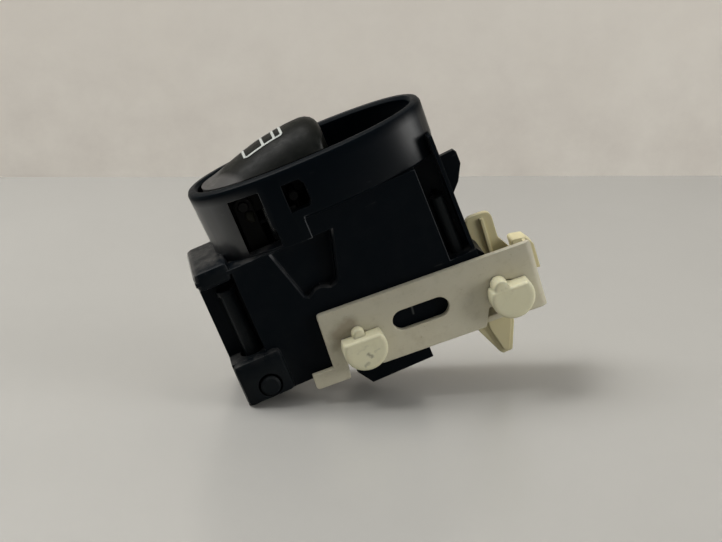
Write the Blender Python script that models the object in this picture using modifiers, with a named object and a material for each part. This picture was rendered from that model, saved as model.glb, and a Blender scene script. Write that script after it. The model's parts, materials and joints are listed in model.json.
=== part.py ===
"""Power window switch block of a car door: a black moulded housing with an oval collar, a rocker in
the left half of its well, an open finger well in the right half, and a cream nylon mounting bracket.

Frame: the origin is the centre of the collar's rim, +Z is the way a finger comes from, +X runs along
the rim's long axis towards the finger well, and -Y is the side with the snap windows. Metres.
"""

import math

import bmesh
import bpy
from mathutils import Matrix

# Collar and well. Outlines are superellipses of this power.
OVAL_POWER = 2.3
COLLAR_LENGTH = 0.0552
COLLAR_DEPTH = 0.0240
COLLAR_WALL = 0.0024
COLLAR_DROP = 0.0126
COLLAR_EDGE = 0.0009
COLLAR_DRAFT = 0.0006
COLLAR_END_ROUNDING = 0.0062
PAD_DROP = 0.0167
COLLAR_SOFTENING = 0.0011
WELL_DROP = 0.0120
WELL_FLOOR = 0.0020

# Body of the housing, whose sides are placed from the collar's ends
SHOULDER_REACH = 0.0060
BODY_RIGHT_INSET = 0.0013
PANEL_LEFT_INSET = 0.0022
PANEL_RIGHT_INSET = 0.0076
BODY_LEFT = -COLLAR_LENGTH / 2 - SHOULDER_REACH
BODY_RIGHT = COLLAR_LENGTH / 2 - BODY_RIGHT_INSET
PANEL_LEFT = -COLLAR_LENGTH / 2 + PANEL_LEFT_INSET
PANEL_RIGHT = COLLAR_LENGTH / 2 - PANEL_RIGHT_INSET
BODY_FRONT = -0.0105
BODY_REAR = 0.0080
BODY_BOTTOM = -0.0480
BODY_WALL = 0.0016
SHOULDER_TOP = -0.0146
SHOULDER_ROUNDING = 0.0013
CHANNEL_BACK = -0.0050
LEFT_CHANNEL_TOP = -0.0176
LEFT_CHANNEL_BOTTOM = -0.0375
RIGHT_CHANNEL_BOTTOM = -0.0350
RIDGE_TOP = -0.0072
RIDGE_WALL = 0.0009
RIDGE_SETBACK = 0.0015
LEFT_POST_RADIUS = 0.0019
LEFT_POST_TOP = -0.0216
LEFT_POST_INSET = 0.0008
RIGHT_POST_RADIUS = 0.0016
RIGHT_POST_TOP = -0.0213
POST_CAP_RIM = 0.0004
POST_CAP_HEIGHT = 0.0012
POST_MOAT = 0.0010
POST_MOAT_DEPTH = 0.0016
CHANNEL_HOLE_RADIUS = 0.0007
FLARE_REACH = 0.0015
FLARE_DROP = 0.0022
FLARE_LIP = 0.0013
TAB_REACH = 0.0055
TAB_TOP = -0.0173
TAB_BOTTOM = -0.0290
TAB_THICKNESS = 0.0013
INNER_CEILING = -0.0182
BOARD_ROOM_TOP = -0.0325

# Foot boss and the pin in it
FOOT_WIDTH = 0.0112
FOOT_RIGHT = BODY_LEFT + FOOT_WIDTH
FOOT_PROUD = 0.0018
FOOT_ROUNDING = 0.0012
FOOT_PIN_INSET = 0.0062
FOOT_PIN_X = BODY_LEFT + FOOT_PIN_INSET
FOOT_PIN_RISE = 0.0031
FOOT_PIN_RADIUS = 0.0023
FOOT_PIN_PROUD = 0.0004
FOOT_PIN_LENGTH = 0.0070
FOOT_PIN_CHAMFER = 0.0005
FOOT_HOLE_LIFT = 0.0002
FOOT_HOLE_PLAY = 0.00045
FOOT_PIN_Z = BODY_BOTTOM + FOOT_PIN_RISE

# The pivot, from which the rocker, the pad and the windows are placed
PIVOT_INSET = 0.0102
PIVOT_X = -COLLAR_LENGTH / 2 + PIVOT_INSET
PIVOT_Z = -0.0062
PIVOT_PIN_RADIUS = 0.0011
PAD_RIGHT = PIVOT_X + 0.0113
PASSAGE_RIGHT = PIVOT_X + 0.0162
PARTITION_THICKNESS = 0.0010
PARTITION_TOP = -0.0049
THROAT_TOP = -0.0154
THROAT_REACH = 0.0029
THROAT_END_HALF = 0.0036
POCKET_DEPTH = 0.0030
POCKET_SHALLOW = 0.0012
POCKET_LIP = 0.0004

# Windows in the collar
BIG_WINDOW_LEFT = PIVOT_X - 0.0028
BIG_WINDOW_RIGHT = PIVOT_X + 0.0041
BIG_WINDOW_TOP = -0.0030
BIG_WINDOW_BOTTOM = -0.0163
SMALL_WINDOW_LEFT = PIVOT_X + 0.0092
SMALL_WINDOW_RIGHT = PIVOT_X + 0.0141
SMALL_WINDOW_TOP = -0.0034
SMALL_WINDOW_BOTTOM = -0.0100

# Rocker
ROCKER_END_GAP = 0.0011
ROCKER_SIDE_GAP = 0.00055
ROCKER_RIGHT = PIVOT_X + 0.0224
ROCKER_END_BOW = 0.0015
ROCKER_RISE = 0.0056
ROCKER_RISE_START = PIVOT_X - 0.0046
ROCKER_CREST_X = PIVOT_X + 0.0189
ROCKER_NOSE_RADIUS = 0.0035
ROCKER_LIP = -0.0002
ROCKER_SKIRT = -0.0024
ROCKER_WALL = 0.0015
ROCKER_HEART = PIVOT_X + 0.0114
ROCKER_RINGS = (1.0, 0.96, 0.90, 0.81, 0.70, 0.56, 0.40, 0.22, 0.06)
LEVER_SHARE = 0.151
LEVER_WEB = 0.0014
LEVER_TOP = 0.0013
LEVER_ARM_BOTTOM = -0.0090
LEVER_PAD = 0.0012
LEVER_END = 0.0024
LEVER_STEP = 0.0001
PEG_X = PIVOT_X + 0.0110
PEG_Z = -0.0070
PEG_RADIUS = 0.0010

# Mechanism frame, plungers and springs
EAR_RADIUS = 0.0021
EAR_THICKNESS = 0.0012
PIN_PROUD = 0.0004
FRAME_PLATE = 0.0016
PLUNGER_LEVERS = {"left": -0.0036, "right": 0.0120}
STEM_RADIUS = 0.0012
STEM_TIP_RADIUS = 0.0006
PISTON_RADIUS = 0.0019
PISTON_TOP = -0.0220
PISTON_THICKNESS = 0.0015
STEM_BOTTOM = -0.0329
TUBE_BOTTOM = -0.0305
TUBE_WALL = 0.0007
TUBE_SEAT = 0.0011
SPRING_WIRE = 0.00025
SPRING_RADIUS = 0.00170
SPRING_TURNS = 4.5
CONTACT_THICKNESS = 0.0004
CONTACT_WIDTH = 0.0020
CONTACT_LENGTH = 0.0084
CONTACT_FOOT = 0.0010
HALF_TRAVEL = math.radians(7)

# Board, lamp, cover and connector
BOARD_TOP = -0.0400
BOARD_THICKNESS = 0.0016
LIGHT_GUIDE_X = PIVOT_X + 0.0050
LIGHT_GUIDE_SIZE = 0.0030
LIGHT_GUIDE_TOP = -0.0088
LAMP_HEIGHT = 0.0019
COVER_THICKNESS = 0.0018
STANDOFF_RADIUS = 0.0014
SNAP_WIDTH = 0.0040
SNAP_THICKNESS = 0.0009
SNAP_HEIGHT = 0.0034
SNAP_HOOK = 0.0020
SNAP_CATCH = 0.0012
SNAP_INSETS = (0.0112, 0.0096)
SHROUD_INSET = 0.0169
SHROUD_LENGTH = 0.0172
SHROUD_LEFT = PANEL_LEFT + SHROUD_INSET
SHROUD_RIGHT = SHROUD_LEFT + SHROUD_LENGTH
SHROUD_FRONT = -0.0080
SHROUD_REAR = 0.0056
SHROUD_BOTTOM = -0.0558
SHROUD_WALL = 0.0012
SHROUD_CORNER = 0.0024
TERMINAL_COUNT = 6
TERMINAL_PITCH = 0.0022
TERMINAL_SIZE = 0.0008
TERMINAL_END = -0.0535

# Mounting bracket, drawn from its plate's upper left corner and turned clockwise seen from the front.
# It starts beside the foot boss and reaches past the right side, and its blade, tail, ear and right
# stud are placed from its right end.
BRACKET_OFFSET = 0.0102
BRACKET_REACH = 0.0119
BRACKET_X = FOOT_RIGHT + BRACKET_OFFSET
BRACKET_Z = -0.0340
BRACKET_TURN = math.radians(4)
PLATE_THICKNESS = 0.0016
PLATE_LENGTH = BODY_RIGHT + BRACKET_REACH - BRACKET_X
PLATE_HEIGHT = 0.0158
PLATE_CORNER = 0.0009
PLATE_STEP = 0.0040
HOOK_REACH = 0.0050
HOOK_HEIGHT = 0.0035
HOOK_DROP = 0.0008
SLOT_RADIUS = 0.0024
SLOT_START = 0.357 * PLATE_LENGTH
SLOT_SPAN = 0.0085
SLOT_Z = -0.0076
BRACKET_WALL = 0.0015
BRACKET_REAR = 0.0058
BRACKET_BEND = 0.0017
BLADE_LEFT = PLATE_LENGTH - 0.0096
BLADE_RIGHT = PLATE_LENGTH - 0.0044
BLADE_RISE = 0.0038
TAIL_LEFT = PLATE_LENGTH - 0.0156
TAIL_RIGHT = PLATE_LENGTH - 0.0074
TAIL_TIP = -0.0274
TAIL_FRONT = -0.0044
TAIL_THICKNESS = 0.0024
EAR_REACH = 0.0026
STUD_PLACES = {"left": (0.0079, -0.0095), "right": (PLATE_LENGTH - 0.0079, -0.0096)}
STUD_HEAD_RADIUS = 0.0050
STUD_HEAD = 0.0042
STUD_CHAMFER = 0.0004
STUD_SHANK_RADIUS = 0.0026
# Each stud's nub: its place from the stud's centre, its radius and how far it stands out of the plate
STUD_NUBS = {"left": (-0.0004, 0.0029, 0.0015, 0.0024), "right": (-0.0019, 0.0027, 0.0019, 0.0039)}

SHARP_ANGLE = math.radians(32)

# Clearances
GAP = 0.0003
PIN_CLEARANCE = 0.0001
RUNNING_GAP = 0.0003
OVERLAP = 0.0004

WELL_LENGTH = COLLAR_LENGTH - 2 * COLLAR_WALL
WELL_DEPTH = COLLAR_DEPTH - 2 * COLLAR_WALL
LEVER_WEB_INNER = LEVER_SHARE * WELL_DEPTH
INNER_LEFT = PANEL_LEFT + 0.0012
INNER_RIGHT = PANEL_RIGHT - 0.0014
UPPER_FRONT = BODY_FRONT + POCKET_DEPTH + 0.0013
LOWER_FRONT = BODY_FRONT + BODY_WALL
INNER_REAR = BODY_REAR - BODY_WALL
SNAP_XS = (INNER_LEFT + SNAP_INSETS[0], INNER_RIGHT - SNAP_INSETS[1])
PLATE_BACK = BODY_FRONT - GAP
PLATE_FRONT = PLATE_BACK - PLATE_THICKNESS

PARTS = bpy.data.collections.new("power_window_switch_block")
HELPERS = bpy.data.collections.new("cutters")


def clear_scene():
    for old in list(bpy.data.objects):
        bpy.data.objects.remove(old, do_unlink=True)
    bpy.context.scene.collection.children.link(PARTS)
    bpy.context.scene.collection.children.link(HELPERS)


def finish(name, colour, roughness, metallic=0.0):
    """A plain Principled material."""
    material = bpy.data.materials.new(name)
    material.use_nodes = True
    shader = material.node_tree.nodes["Principled BSDF"]
    shader.inputs["Base Color"].default_value = (*colour, 1.0)
    shader.inputs["Roughness"].default_value = roughness
    shader.inputs["Metallic"].default_value = metallic
    return material


def new_object(name, mesh):
    """Every solid starts as a helper; keep() makes it a sub-part."""
    obj = bpy.data.objects.new(name, mesh)
    HELPERS.objects.link(obj)
    obj.hide_render = True
    obj.display_type = "WIRE"
    return obj


def shading():
    """A node tree that shades a solid smooth, but for edges that turn more than SHARP_ANGLE."""
    tree = bpy.data.node_groups.new("smooth_by_angle", "GeometryNodeTree")
    tree.interface.new_socket("Geometry", in_out="INPUT", socket_type="NodeSocketGeometry")
    tree.interface.new_socket("Geometry", in_out="OUTPUT", socket_type="NodeSocketGeometry")
    start, end, bend, corner, smooth, sharp = (tree.nodes.new(kind) for kind in (
        "NodeGroupInput", "NodeGroupOutput", "GeometryNodeInputMeshEdgeAngle", "FunctionNodeCompare",
        "GeometryNodeSetShadeSmooth", "GeometryNodeSetShadeSmooth",
    ))
    corner.operation = "GREATER_THAN"
    corner.inputs[1].default_value = SHARP_ANGLE
    sharp.domain = "EDGE"
    sharp.inputs["Shade Smooth"].default_value = False
    tree.links.new(start.outputs[0], smooth.inputs["Geometry"])
    tree.links.new(smooth.outputs[0], sharp.inputs["Geometry"])
    tree.links.new(bend.outputs["Unsigned Angle"], corner.inputs[0])
    tree.links.new(corner.outputs["Result"], sharp.inputs["Selection"])
    tree.links.new(sharp.outputs[0], end.inputs[0])
    return tree


def keep(obj, material, pivot=None, parent=None):
    """Moves a finished solid into the part's collection, with its origin on its joint if it has one."""
    HELPERS.objects.unlink(obj)
    PARTS.objects.link(obj)
    obj.hide_render = False
    obj.display_type = "TEXTURED"
    obj.data.materials.clear()
    obj.data.materials.append(material)
    if obj.type == "MESH":
        tree = bpy.data.node_groups.get("smooth_by_angle") or shading()
        obj.modifiers.new("smooth_by_angle", "NODES").node_group = tree
    if pivot:
        obj.data.transform(Matrix.Translation(pivot).inverted())
        obj.location = pivot
    if parent:
        obj.parent = parent
    return obj


def from_bmesh(name, bm):
    mesh = bpy.data.meshes.new(name)
    bmesh.ops.recalc_face_normals(bm, faces=bm.faces)
    bm.to_mesh(mesh)
    bm.free()
    return new_object(name, mesh)


def box(name, low, high, rounding=0.0):
    bm = bmesh.new()
    bmesh.ops.create_cube(bm, size=1.0)
    for vert in bm.verts:
        vert.co = [a + (c + 0.5) * (b - a) for a, b, c in zip(low, high, vert.co)]
    if rounding:
        bmesh.ops.bevel(bm, geom=bm.edges, offset=rounding, segments=2, affect="EDGES", profile=0.5)
    return from_bmesh(name, bm)


def rod(name, start, end, radius, sides=24, end_radius=None):
    """A cylinder or cone along X, Y or Z from start to end."""
    bm = bmesh.new()
    axis = [b - a for a, b in zip(start, end)]
    length = math.hypot(*axis)
    middle = [(a + b) / 2 for a, b in zip(start, end)]
    if abs(axis[0]) > length / 2:
        turn = Matrix.Rotation(math.copysign(math.pi / 2, axis[0]), 4, "Y")
    elif abs(axis[1]) > length / 2:
        turn = Matrix.Rotation(math.copysign(math.pi / 2, -axis[1]), 4, "X")
    else:
        turn = Matrix.Rotation(0.0 if axis[2] > 0 else math.pi, 4, "X")
    bmesh.ops.create_cone(
        bm, cap_ends=True, segments=sides, radius1=radius,
        radius2=radius if end_radius is None else end_radius,
        depth=length, matrix=Matrix.Translation(middle) @ turn,
    )
    return from_bmesh(name, bm)


def turned(name, profile, sides=24):
    """A profile of (radius, z) from the top of the axis down to its foot, screwed about Z."""
    mesh = bpy.data.meshes.new(name)
    mesh.from_pydata([(r, 0.0, z) for r, z in profile], [(i, i + 1) for i in range(len(profile) - 1)], [])
    obj = new_object(name, mesh)
    screw = obj.modifiers.new("turn", "SCREW")
    screw.steps = sides
    screw.render_steps = sides
    screw.use_merge_vertices = True
    screw.merge_threshold = 0.00001
    return obj


def arc(centre, radius, start_deg, end_deg, count):
    """Points on an arc, the first and last included."""
    steps = [math.radians(start_deg + (end_deg - start_deg) * i / (count - 1)) for i in range(count)]
    return [(centre[0] + radius * math.cos(t), centre[1] + radius * math.sin(t)) for t in steps]


def slab(name, outline, low, high, axis="Z"):
    """A flat outline, filled and extruded between low and high along an axis.

    The outline's two numbers are x and y for axis Z, x and z for axis Y, and y and z for axis X.
    """
    curve = bpy.data.curves.new(name, "CURVE")
    curve.dimensions = "2D"
    curve.fill_mode = "BOTH"
    curve.extrude = (high - low) / 2
    spline = curve.splines.new("POLY")
    spline.points.add(len(outline) - 1)
    for point, (u, v) in zip(spline.points, outline):
        point.co = (u, v, 0.0, 1.0)
    spline.use_cyclic_u = True
    drawn = bpy.data.objects.new(name, curve)
    HELPERS.objects.link(drawn)
    graph = bpy.context.evaluated_depsgraph_get()
    mesh = bpy.data.meshes.new_from_object(drawn.evaluated_get(graph))
    bpy.data.objects.remove(drawn, do_unlink=True)
    bpy.data.curves.remove(curve)
    middle = (low + high) / 2
    if axis == "Y":
        turn = Matrix.Translation((0, middle, 0)) @ Matrix.Rotation(math.pi / 2, 4, "X")
    elif axis == "X":
        swap = Matrix(((0, 0, 1, 0), (1, 0, 0, 0), (0, 1, 0, 0), (0, 0, 0, 1)))
        turn = Matrix.Translation((middle, 0, 0)) @ swap
    else:
        turn = Matrix.Translation((0, 0, middle))
    bm = bmesh.new()
    bm.from_mesh(mesh)
    bpy.data.meshes.remove(mesh)
    bmesh.ops.remove_doubles(bm, verts=bm.verts, dist=0.000001)
    bmesh.ops.transform(bm, matrix=turn, verts=bm.verts)
    return from_bmesh(name, bm)


def combine(target, tool, operation="DIFFERENCE"):
    """A live Boolean; the tool stays in the cutters' collection."""
    step = target.modifiers.new(tool.name, "BOOLEAN")
    step.operation = operation
    step.solver = "EXACT"
    step.object = tool
    return target


def cut(target, *tools):
    for tool in tools:
        combine(target, tool)
    return target


def join(target, *tools):
    for tool in tools:
        combine(target, tool, "UNION")
    return target


def oval(length, depth, count=72):
    points = []
    for i in range(count):
        angle = 2 * math.pi * i / count
        c, s = math.cos(angle), math.sin(angle)
        points.append((
            length / 2 * math.copysign(abs(c) ** (2 / OVAL_POWER), c),
            depth / 2 * math.copysign(abs(s) ** (2 / OVAL_POWER), s),
        ))
    return points


def half_depth(length, depth, x):
    """How far an oval reaches to each side at x."""
    share = min(1.0, abs(2 * x / length))
    return depth / 2 * (1 - share ** OVAL_POWER) ** (1 / OVAL_POWER)


def loft(name, rings):
    """Skins a stack of rings of equal count, from one unlike section to the next, and caps both ends."""
    bm = bmesh.new()
    levels = [[bm.verts.new(point) for point in ring] for ring in rings]
    for low, high in zip(levels, levels[1:]):
        for i in range(len(low)):
            bm.faces.new((low[i - 1], low[i], high[i], high[i - 1]))
    bm.faces.new(levels[0])
    bm.faces.new(levels[-1])
    return from_bmesh(name, bm)


def oval_loft(name, length, depth, levels):
    """A loft through one oval at several heights, each level a (z, inset)."""
    rings = []
    for z, inset in levels:
        rings.append([(x, y, z) for x, y in oval(length - 2 * inset, depth - 2 * inset)])
    return loft(name, rings)


def direction(a, b):
    length = math.hypot(b[0] - a[0], b[1] - a[1])
    return (b[0] - a[0]) / length, (b[1] - a[1]) / length


def grown(outline, amount):
    """An outline drawn anticlockwise, grown all round by amount, or shrunk where that is negative."""
    points = []
    for i, here in enumerate(outline):
        (ax, az) = direction(outline[i - 1], here)
        (bx, bz) = direction(here, outline[(i + 1) % len(outline)])
        half_turn = math.sqrt(max(0.1, (1 + ax * bx + az * bz) / 2))
        scale = amount / half_turn / math.hypot(az + bz, ax + bx)
        points.append((here[0] + (az + bz) * scale, here[1] - (ax + bx) * scale))
    return points


def levels_along_y(outline, steps):
    """Rings for a loft along Y: the outline grown by each step's amount, at that step's y."""
    return [[(x, y, z) for x, z in grown(outline, amount)] for y, amount in steps]


def collar_solid():
    """The oval tube outside, as a solid: full drop on the left, rounded up to its right end."""
    collar = oval_loft("collar", COLLAR_LENGTH, COLLAR_DEPTH, [
        (0.0, COLLAR_EDGE), (-COLLAR_EDGE / 3, COLLAR_EDGE / 3), (-COLLAR_EDGE, 0.0),
        (-PAD_DROP - OVERLAP, COLLAR_DRAFT),
    ])
    below = -PAD_DROP - 0.01
    beyond = COLLAR_LENGTH
    centre = (COLLAR_LENGTH / 2 - COLLAR_END_ROUNDING, COLLAR_END_ROUNDING - COLLAR_DROP)
    lower = arc(centre, COLLAR_END_ROUNDING, -90, 0, 9)
    outline = [(PAD_RIGHT, below), (beyond, below), (beyond, centre[1])]
    outline += lower[::-1] + [(PAD_RIGHT, -COLLAR_DROP)]
    cut(collar, slab("collar_underside", outline, -COLLAR_DEPTH, COLLAR_DEPTH, "Y"))
    return cut(collar, collar_edge_cutter())


def collar_edge_cutter():
    """Rounds the collar's lower edge over, right of the pad: what lies outside an oval that draws in."""
    top = -COLLAR_DROP + COLLAR_SOFTENING
    foot = -COLLAR_DROP - OVERLAP
    edge = box("collar_edge", (PAD_RIGHT + 0.0001, -COLLAR_DEPTH, foot), (COLLAR_LENGTH, COLLAR_DEPTH, top))
    core = oval_loft("collar_core", COLLAR_LENGTH, COLLAR_DEPTH, [
        (top + OVERLAP, -COLLAR_DRAFT), (top, 0.0), (top - 0.4 * COLLAR_SOFTENING, 0.9 * COLLAR_DRAFT),
        (top - 0.8 * COLLAR_SOFTENING, 1.5 * COLLAR_DRAFT), (-COLLAR_DROP, 2.1 * COLLAR_DRAFT),
        (foot - OVERLAP, 2.6 * COLLAR_DRAFT),
    ])
    return cut(edge, core)


def left_post_place():
    return PANEL_LEFT - LEFT_POST_INSET - LEFT_POST_RADIUS, CHANNEL_BACK - 0.7 * LEFT_POST_RADIUS


def right_post_place():
    return (PANEL_RIGHT + BODY_RIGHT - RIDGE_WALL) / 2, CHANNEL_BACK - 0.7 * RIGHT_POST_RADIUS


def channel_posts():
    """The two round posts that stand in the front channels, and the ledge that caps the left one."""
    x, y = left_post_place()
    foot = LEFT_CHANNEL_BOTTOM - POST_MOAT_DEPTH - OVERLAP
    right_x, right_y = right_post_place()
    right_foot = RIGHT_CHANNEL_BOTTOM - OVERLAP
    return [
        rod("left_post", (x, y, foot), (x, y, LEFT_POST_TOP), LEFT_POST_RADIUS),
        rod("left_post_cap", (x, y, LEFT_POST_TOP - POST_CAP_HEIGHT), (x, y, LEFT_POST_TOP),
            LEFT_POST_RADIUS + POST_CAP_RIM),
        rod("right_post", (right_x, right_y, right_foot), (right_x, right_y, RIGHT_POST_TOP),
            RIGHT_POST_RADIUS),
    ]


def foot_boss():
    boss = box(
        "foot_boss",
        (BODY_LEFT, BODY_FRONT - FOOT_PROUD, BODY_BOTTOM),
        (FOOT_RIGHT, BODY_FRONT + FOOT_ROUNDING + OVERLAP, LEFT_CHANNEL_BOTTOM),
        FOOT_ROUNDING,
    )
    return boss


def right_flare():
    """The right wall widens to a small shelf at its foot."""
    x = BODY_RIGHT - OVERLAP
    shelf = RIGHT_CHANNEL_BOTTOM - FLARE_DROP
    outline = [
        (x, RIGHT_CHANNEL_BOTTOM), (BODY_RIGHT, RIGHT_CHANNEL_BOTTOM), (BODY_RIGHT + FLARE_REACH, shelf),
        (BODY_RIGHT + FLARE_REACH, shelf - FLARE_LIP), (x, shelf - FLARE_LIP),
    ]
    return slab("right_flare", outline, BODY_FRONT + RIDGE_SETBACK, 0.0, "Y")


def rear_tab():
    """A pointed guide fin at the rear of the right side."""
    x = BODY_RIGHT - OVERLAP
    tip = BODY_RIGHT + TAB_REACH
    outline = [
        (x, TAB_TOP - 0.0003), (tip - 0.0005, TAB_TOP), (tip, TAB_TOP - 0.0007), (tip, TAB_TOP - 0.0036),
        (tip - 0.0020, TAB_BOTTOM + 0.0042), (x, TAB_BOTTOM),
    ]
    return slab("rear_tab", outline, BODY_REAR - TAB_THICKNESS, BODY_REAR, "Y")


def pocket_cutter():
    """The scoop under the pad: a slanted left side, a scalloped foot and an upright right side.

    Its lip is chamfered, and its floor slopes from shallow at the left to deep at the right.
    """
    top = -PAD_DROP - OVERLAP
    left, right, foot = PAD_RIGHT - 0.0098, PAD_RIGHT + 0.0044, top - 0.0125
    outline = [
        (left, top), (left + 0.0032, foot + 0.0004), (left + 0.0040, foot - 0.0001),
        (left + 0.0058, foot + 0.0010), (left + 0.0072, foot + 0.0012), (left + 0.0094, foot + 0.0002),
        (left + 0.0108, foot + 0.0007), (left + 0.0114, foot + 0.0017), (right, top - 0.0001),
        (right - 0.0004, top),
    ]
    steps = [(BODY_FRONT - 0.001, POCKET_LIP), (BODY_FRONT, POCKET_LIP), (BODY_FRONT + POCKET_LIP, 0.0)]
    rings = [[(x, y, min(z, top)) for x, y, z in ring] for ring in levels_along_y(outline, steps)]
    slope = (POCKET_DEPTH - POCKET_SHALLOW) / (right - left)
    floor = [(x, BODY_FRONT + POCKET_SHALLOW + slope * (x - left), z) for x, z in grown(outline, -0.0001)]
    return loft("pocket", rings + [floor])


def well_cutters():
    """The well, its chamfered mouth, and the passage under its left half down into the body.

    Under the collar the passage narrows to a throat, which keeps the body's front and rear walls whole.
    """
    well = oval_loft("well", WELL_LENGTH, WELL_DEPTH, [
        (0.0010, -0.0016), (-0.0006, 0.0), (-WELL_DROP, 0.0),
    ])
    left_half = [p for p in oval(WELL_LENGTH, WELL_DEPTH) if p[0] < PASSAGE_RIGHT]
    side = half_depth(WELL_LENGTH, WELL_DEPTH, PASSAGE_RIGHT)
    outline = [(PASSAGE_RIGHT, side)] + left_half + [(PASSAGE_RIGHT, -side)]
    passage = slab("passage", outline, THROAT_TOP, -WELL_DROP + OVERLAP)
    foot, top = INNER_CEILING - OVERLAP, THROAT_TOP + OVERLAP
    throat = box("throat", (PIVOT_X - THROAT_REACH, UPPER_FRONT, foot), (PASSAGE_RIGHT, INNER_REAR, top))
    end = box(
        "throat_end", (INNER_LEFT + 0.0001, -THROAT_END_HALF, foot - 0.0001),
        (PIVOT_X - THROAT_REACH + OVERLAP, THROAT_END_HALF, top + 0.0001),
    )
    return [well, passage, throat, end]


def window_cutters():
    """The two windows through the collar's front wall."""
    reach = -COLLAR_DEPTH / 2 - 0.001
    big = [
        (BIG_WINDOW_LEFT, BIG_WINDOW_BOTTOM), (BIG_WINDOW_RIGHT + 0.0006, BIG_WINDOW_BOTTOM),
        (BIG_WINDOW_RIGHT + 0.0006, BIG_WINDOW_BOTTOM + 0.0040),
        (BIG_WINDOW_RIGHT, BIG_WINDOW_BOTTOM + 0.0048),
        (BIG_WINDOW_RIGHT, BIG_WINDOW_TOP), (BIG_WINDOW_LEFT, BIG_WINDOW_TOP),
    ]
    small = [
        (SMALL_WINDOW_LEFT, SMALL_WINDOW_BOTTOM), (SMALL_WINDOW_RIGHT - 0.0006, SMALL_WINDOW_BOTTOM),
        (SMALL_WINDOW_RIGHT, SMALL_WINDOW_BOTTOM + 0.0010), (SMALL_WINDOW_RIGHT, SMALL_WINDOW_TOP - 0.0014),
        (SMALL_WINDOW_RIGHT - 0.0008, SMALL_WINDOW_TOP), (SMALL_WINDOW_LEFT, SMALL_WINDOW_TOP),
    ]
    return [
        slab("big_window", big, reach, -0.001, "Y"),
        slab("small_window", small, reach, -0.001, "Y"),
    ]


def room_cutters():
    """The space inside the body: narrow behind the pocket, wide round the board, and two side pockets."""
    floor = BODY_BOTTOM - 0.001
    return [
        box("upper_room", (INNER_LEFT, UPPER_FRONT, BOARD_ROOM_TOP - OVERLAP),
            (INNER_RIGHT, INNER_REAR, INNER_CEILING)),
        box("board_room", (INNER_LEFT, LOWER_FRONT, floor), (INNER_RIGHT, INNER_REAR, BOARD_ROOM_TOP)),
        box("left_room", (BODY_LEFT + BODY_WALL, CHANNEL_BACK + BODY_WALL, floor),
            (INNER_LEFT - BODY_WALL, INNER_REAR, SHOULDER_TOP - BODY_WALL - SHOULDER_ROUNDING)),
        box("right_room", (INNER_RIGHT + BODY_WALL, CHANNEL_BACK + BODY_WALL, floor),
            (BODY_RIGHT - BODY_WALL, INNER_REAR, -COLLAR_DROP - 0.0060)),
    ]


def snap_box(name, x, low_y, high_y, low_z, high_z, grow=0.0):
    half = SNAP_WIDTH / 2 + grow
    return box(name, (x - half, low_y, low_z), (x + half, high_y, high_z))


def build_housing(material):
    housing = box("housing", (BODY_LEFT, BODY_FRONT, BODY_BOTTOM), (BODY_RIGHT, BODY_REAR, -PAD_DROP))
    upper = box(
        "body_under_collar", (PAD_RIGHT, BODY_FRONT, -PAD_DROP - OVERLAP),
        (BODY_RIGHT, BODY_REAR, -COLLAR_DROP + OVERLAP),
    )
    shoulder = box(
        "shoulder", (BODY_LEFT, BODY_FRONT, -PAD_DROP - 2 * SHOULDER_ROUNDING),
        (PANEL_LEFT, BODY_REAR, SHOULDER_TOP), SHOULDER_ROUNDING,
    )
    ridge_left = BODY_RIGHT - RIDGE_WALL
    ridge = box(
        "ridge", (ridge_left, BODY_FRONT + RIDGE_SETBACK, -COLLAR_DROP - OVERLAP),
        (BODY_RIGHT, BODY_REAR, RIDGE_TOP),
    )
    before = BODY_FRONT - 0.001
    join(housing, upper)
    cut(
        housing,
        box("left_channel", (BODY_LEFT - 0.001, before, LEFT_CHANNEL_BOTTOM),
            (PANEL_LEFT, CHANNEL_BACK, LEFT_CHANNEL_TOP)),
        box("right_channel", (PANEL_RIGHT, before, RIGHT_CHANNEL_BOTTOM), (ridge_left, CHANNEL_BACK, 0.0)),
        box("ridge_setback", (ridge_left - OVERLAP, before, RIGHT_CHANNEL_BOTTOM),
            (BODY_RIGHT + 0.001, BODY_FRONT + RIDGE_SETBACK, 0.0)),
    )
    join(housing, shoulder, ridge, right_flare(), rear_tab(), collar_solid(), foot_boss())
    x, y = left_post_place()
    moat_foot = LEFT_CHANNEL_BOTTOM - POST_MOAT_DEPTH
    moat_top = LEFT_CHANNEL_BOTTOM + OVERLAP
    cut(housing, rod("post_moat", (x, y, moat_foot), (x, y, moat_top), LEFT_POST_RADIUS + POST_MOAT))
    join(housing, *channel_posts())
    cut(housing, *well_cutters())
    join(housing, partition())
    cut(housing, *window_cutters(), *room_cutters(), pocket_cutter(), *pin_cutters())
    return keep(housing, material)


def partition():
    """The low wall between the finger well and the room of the mechanism."""
    side = half_depth(WELL_LENGTH, WELL_DEPTH, PASSAGE_RIGHT) + OVERLAP / 2
    low = (PASSAGE_RIGHT, -side, -WELL_DROP - OVERLAP)
    return box("partition", low, (PASSAGE_RIGHT + PARTITION_THICKNESS, side, PARTITION_TOP))


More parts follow.
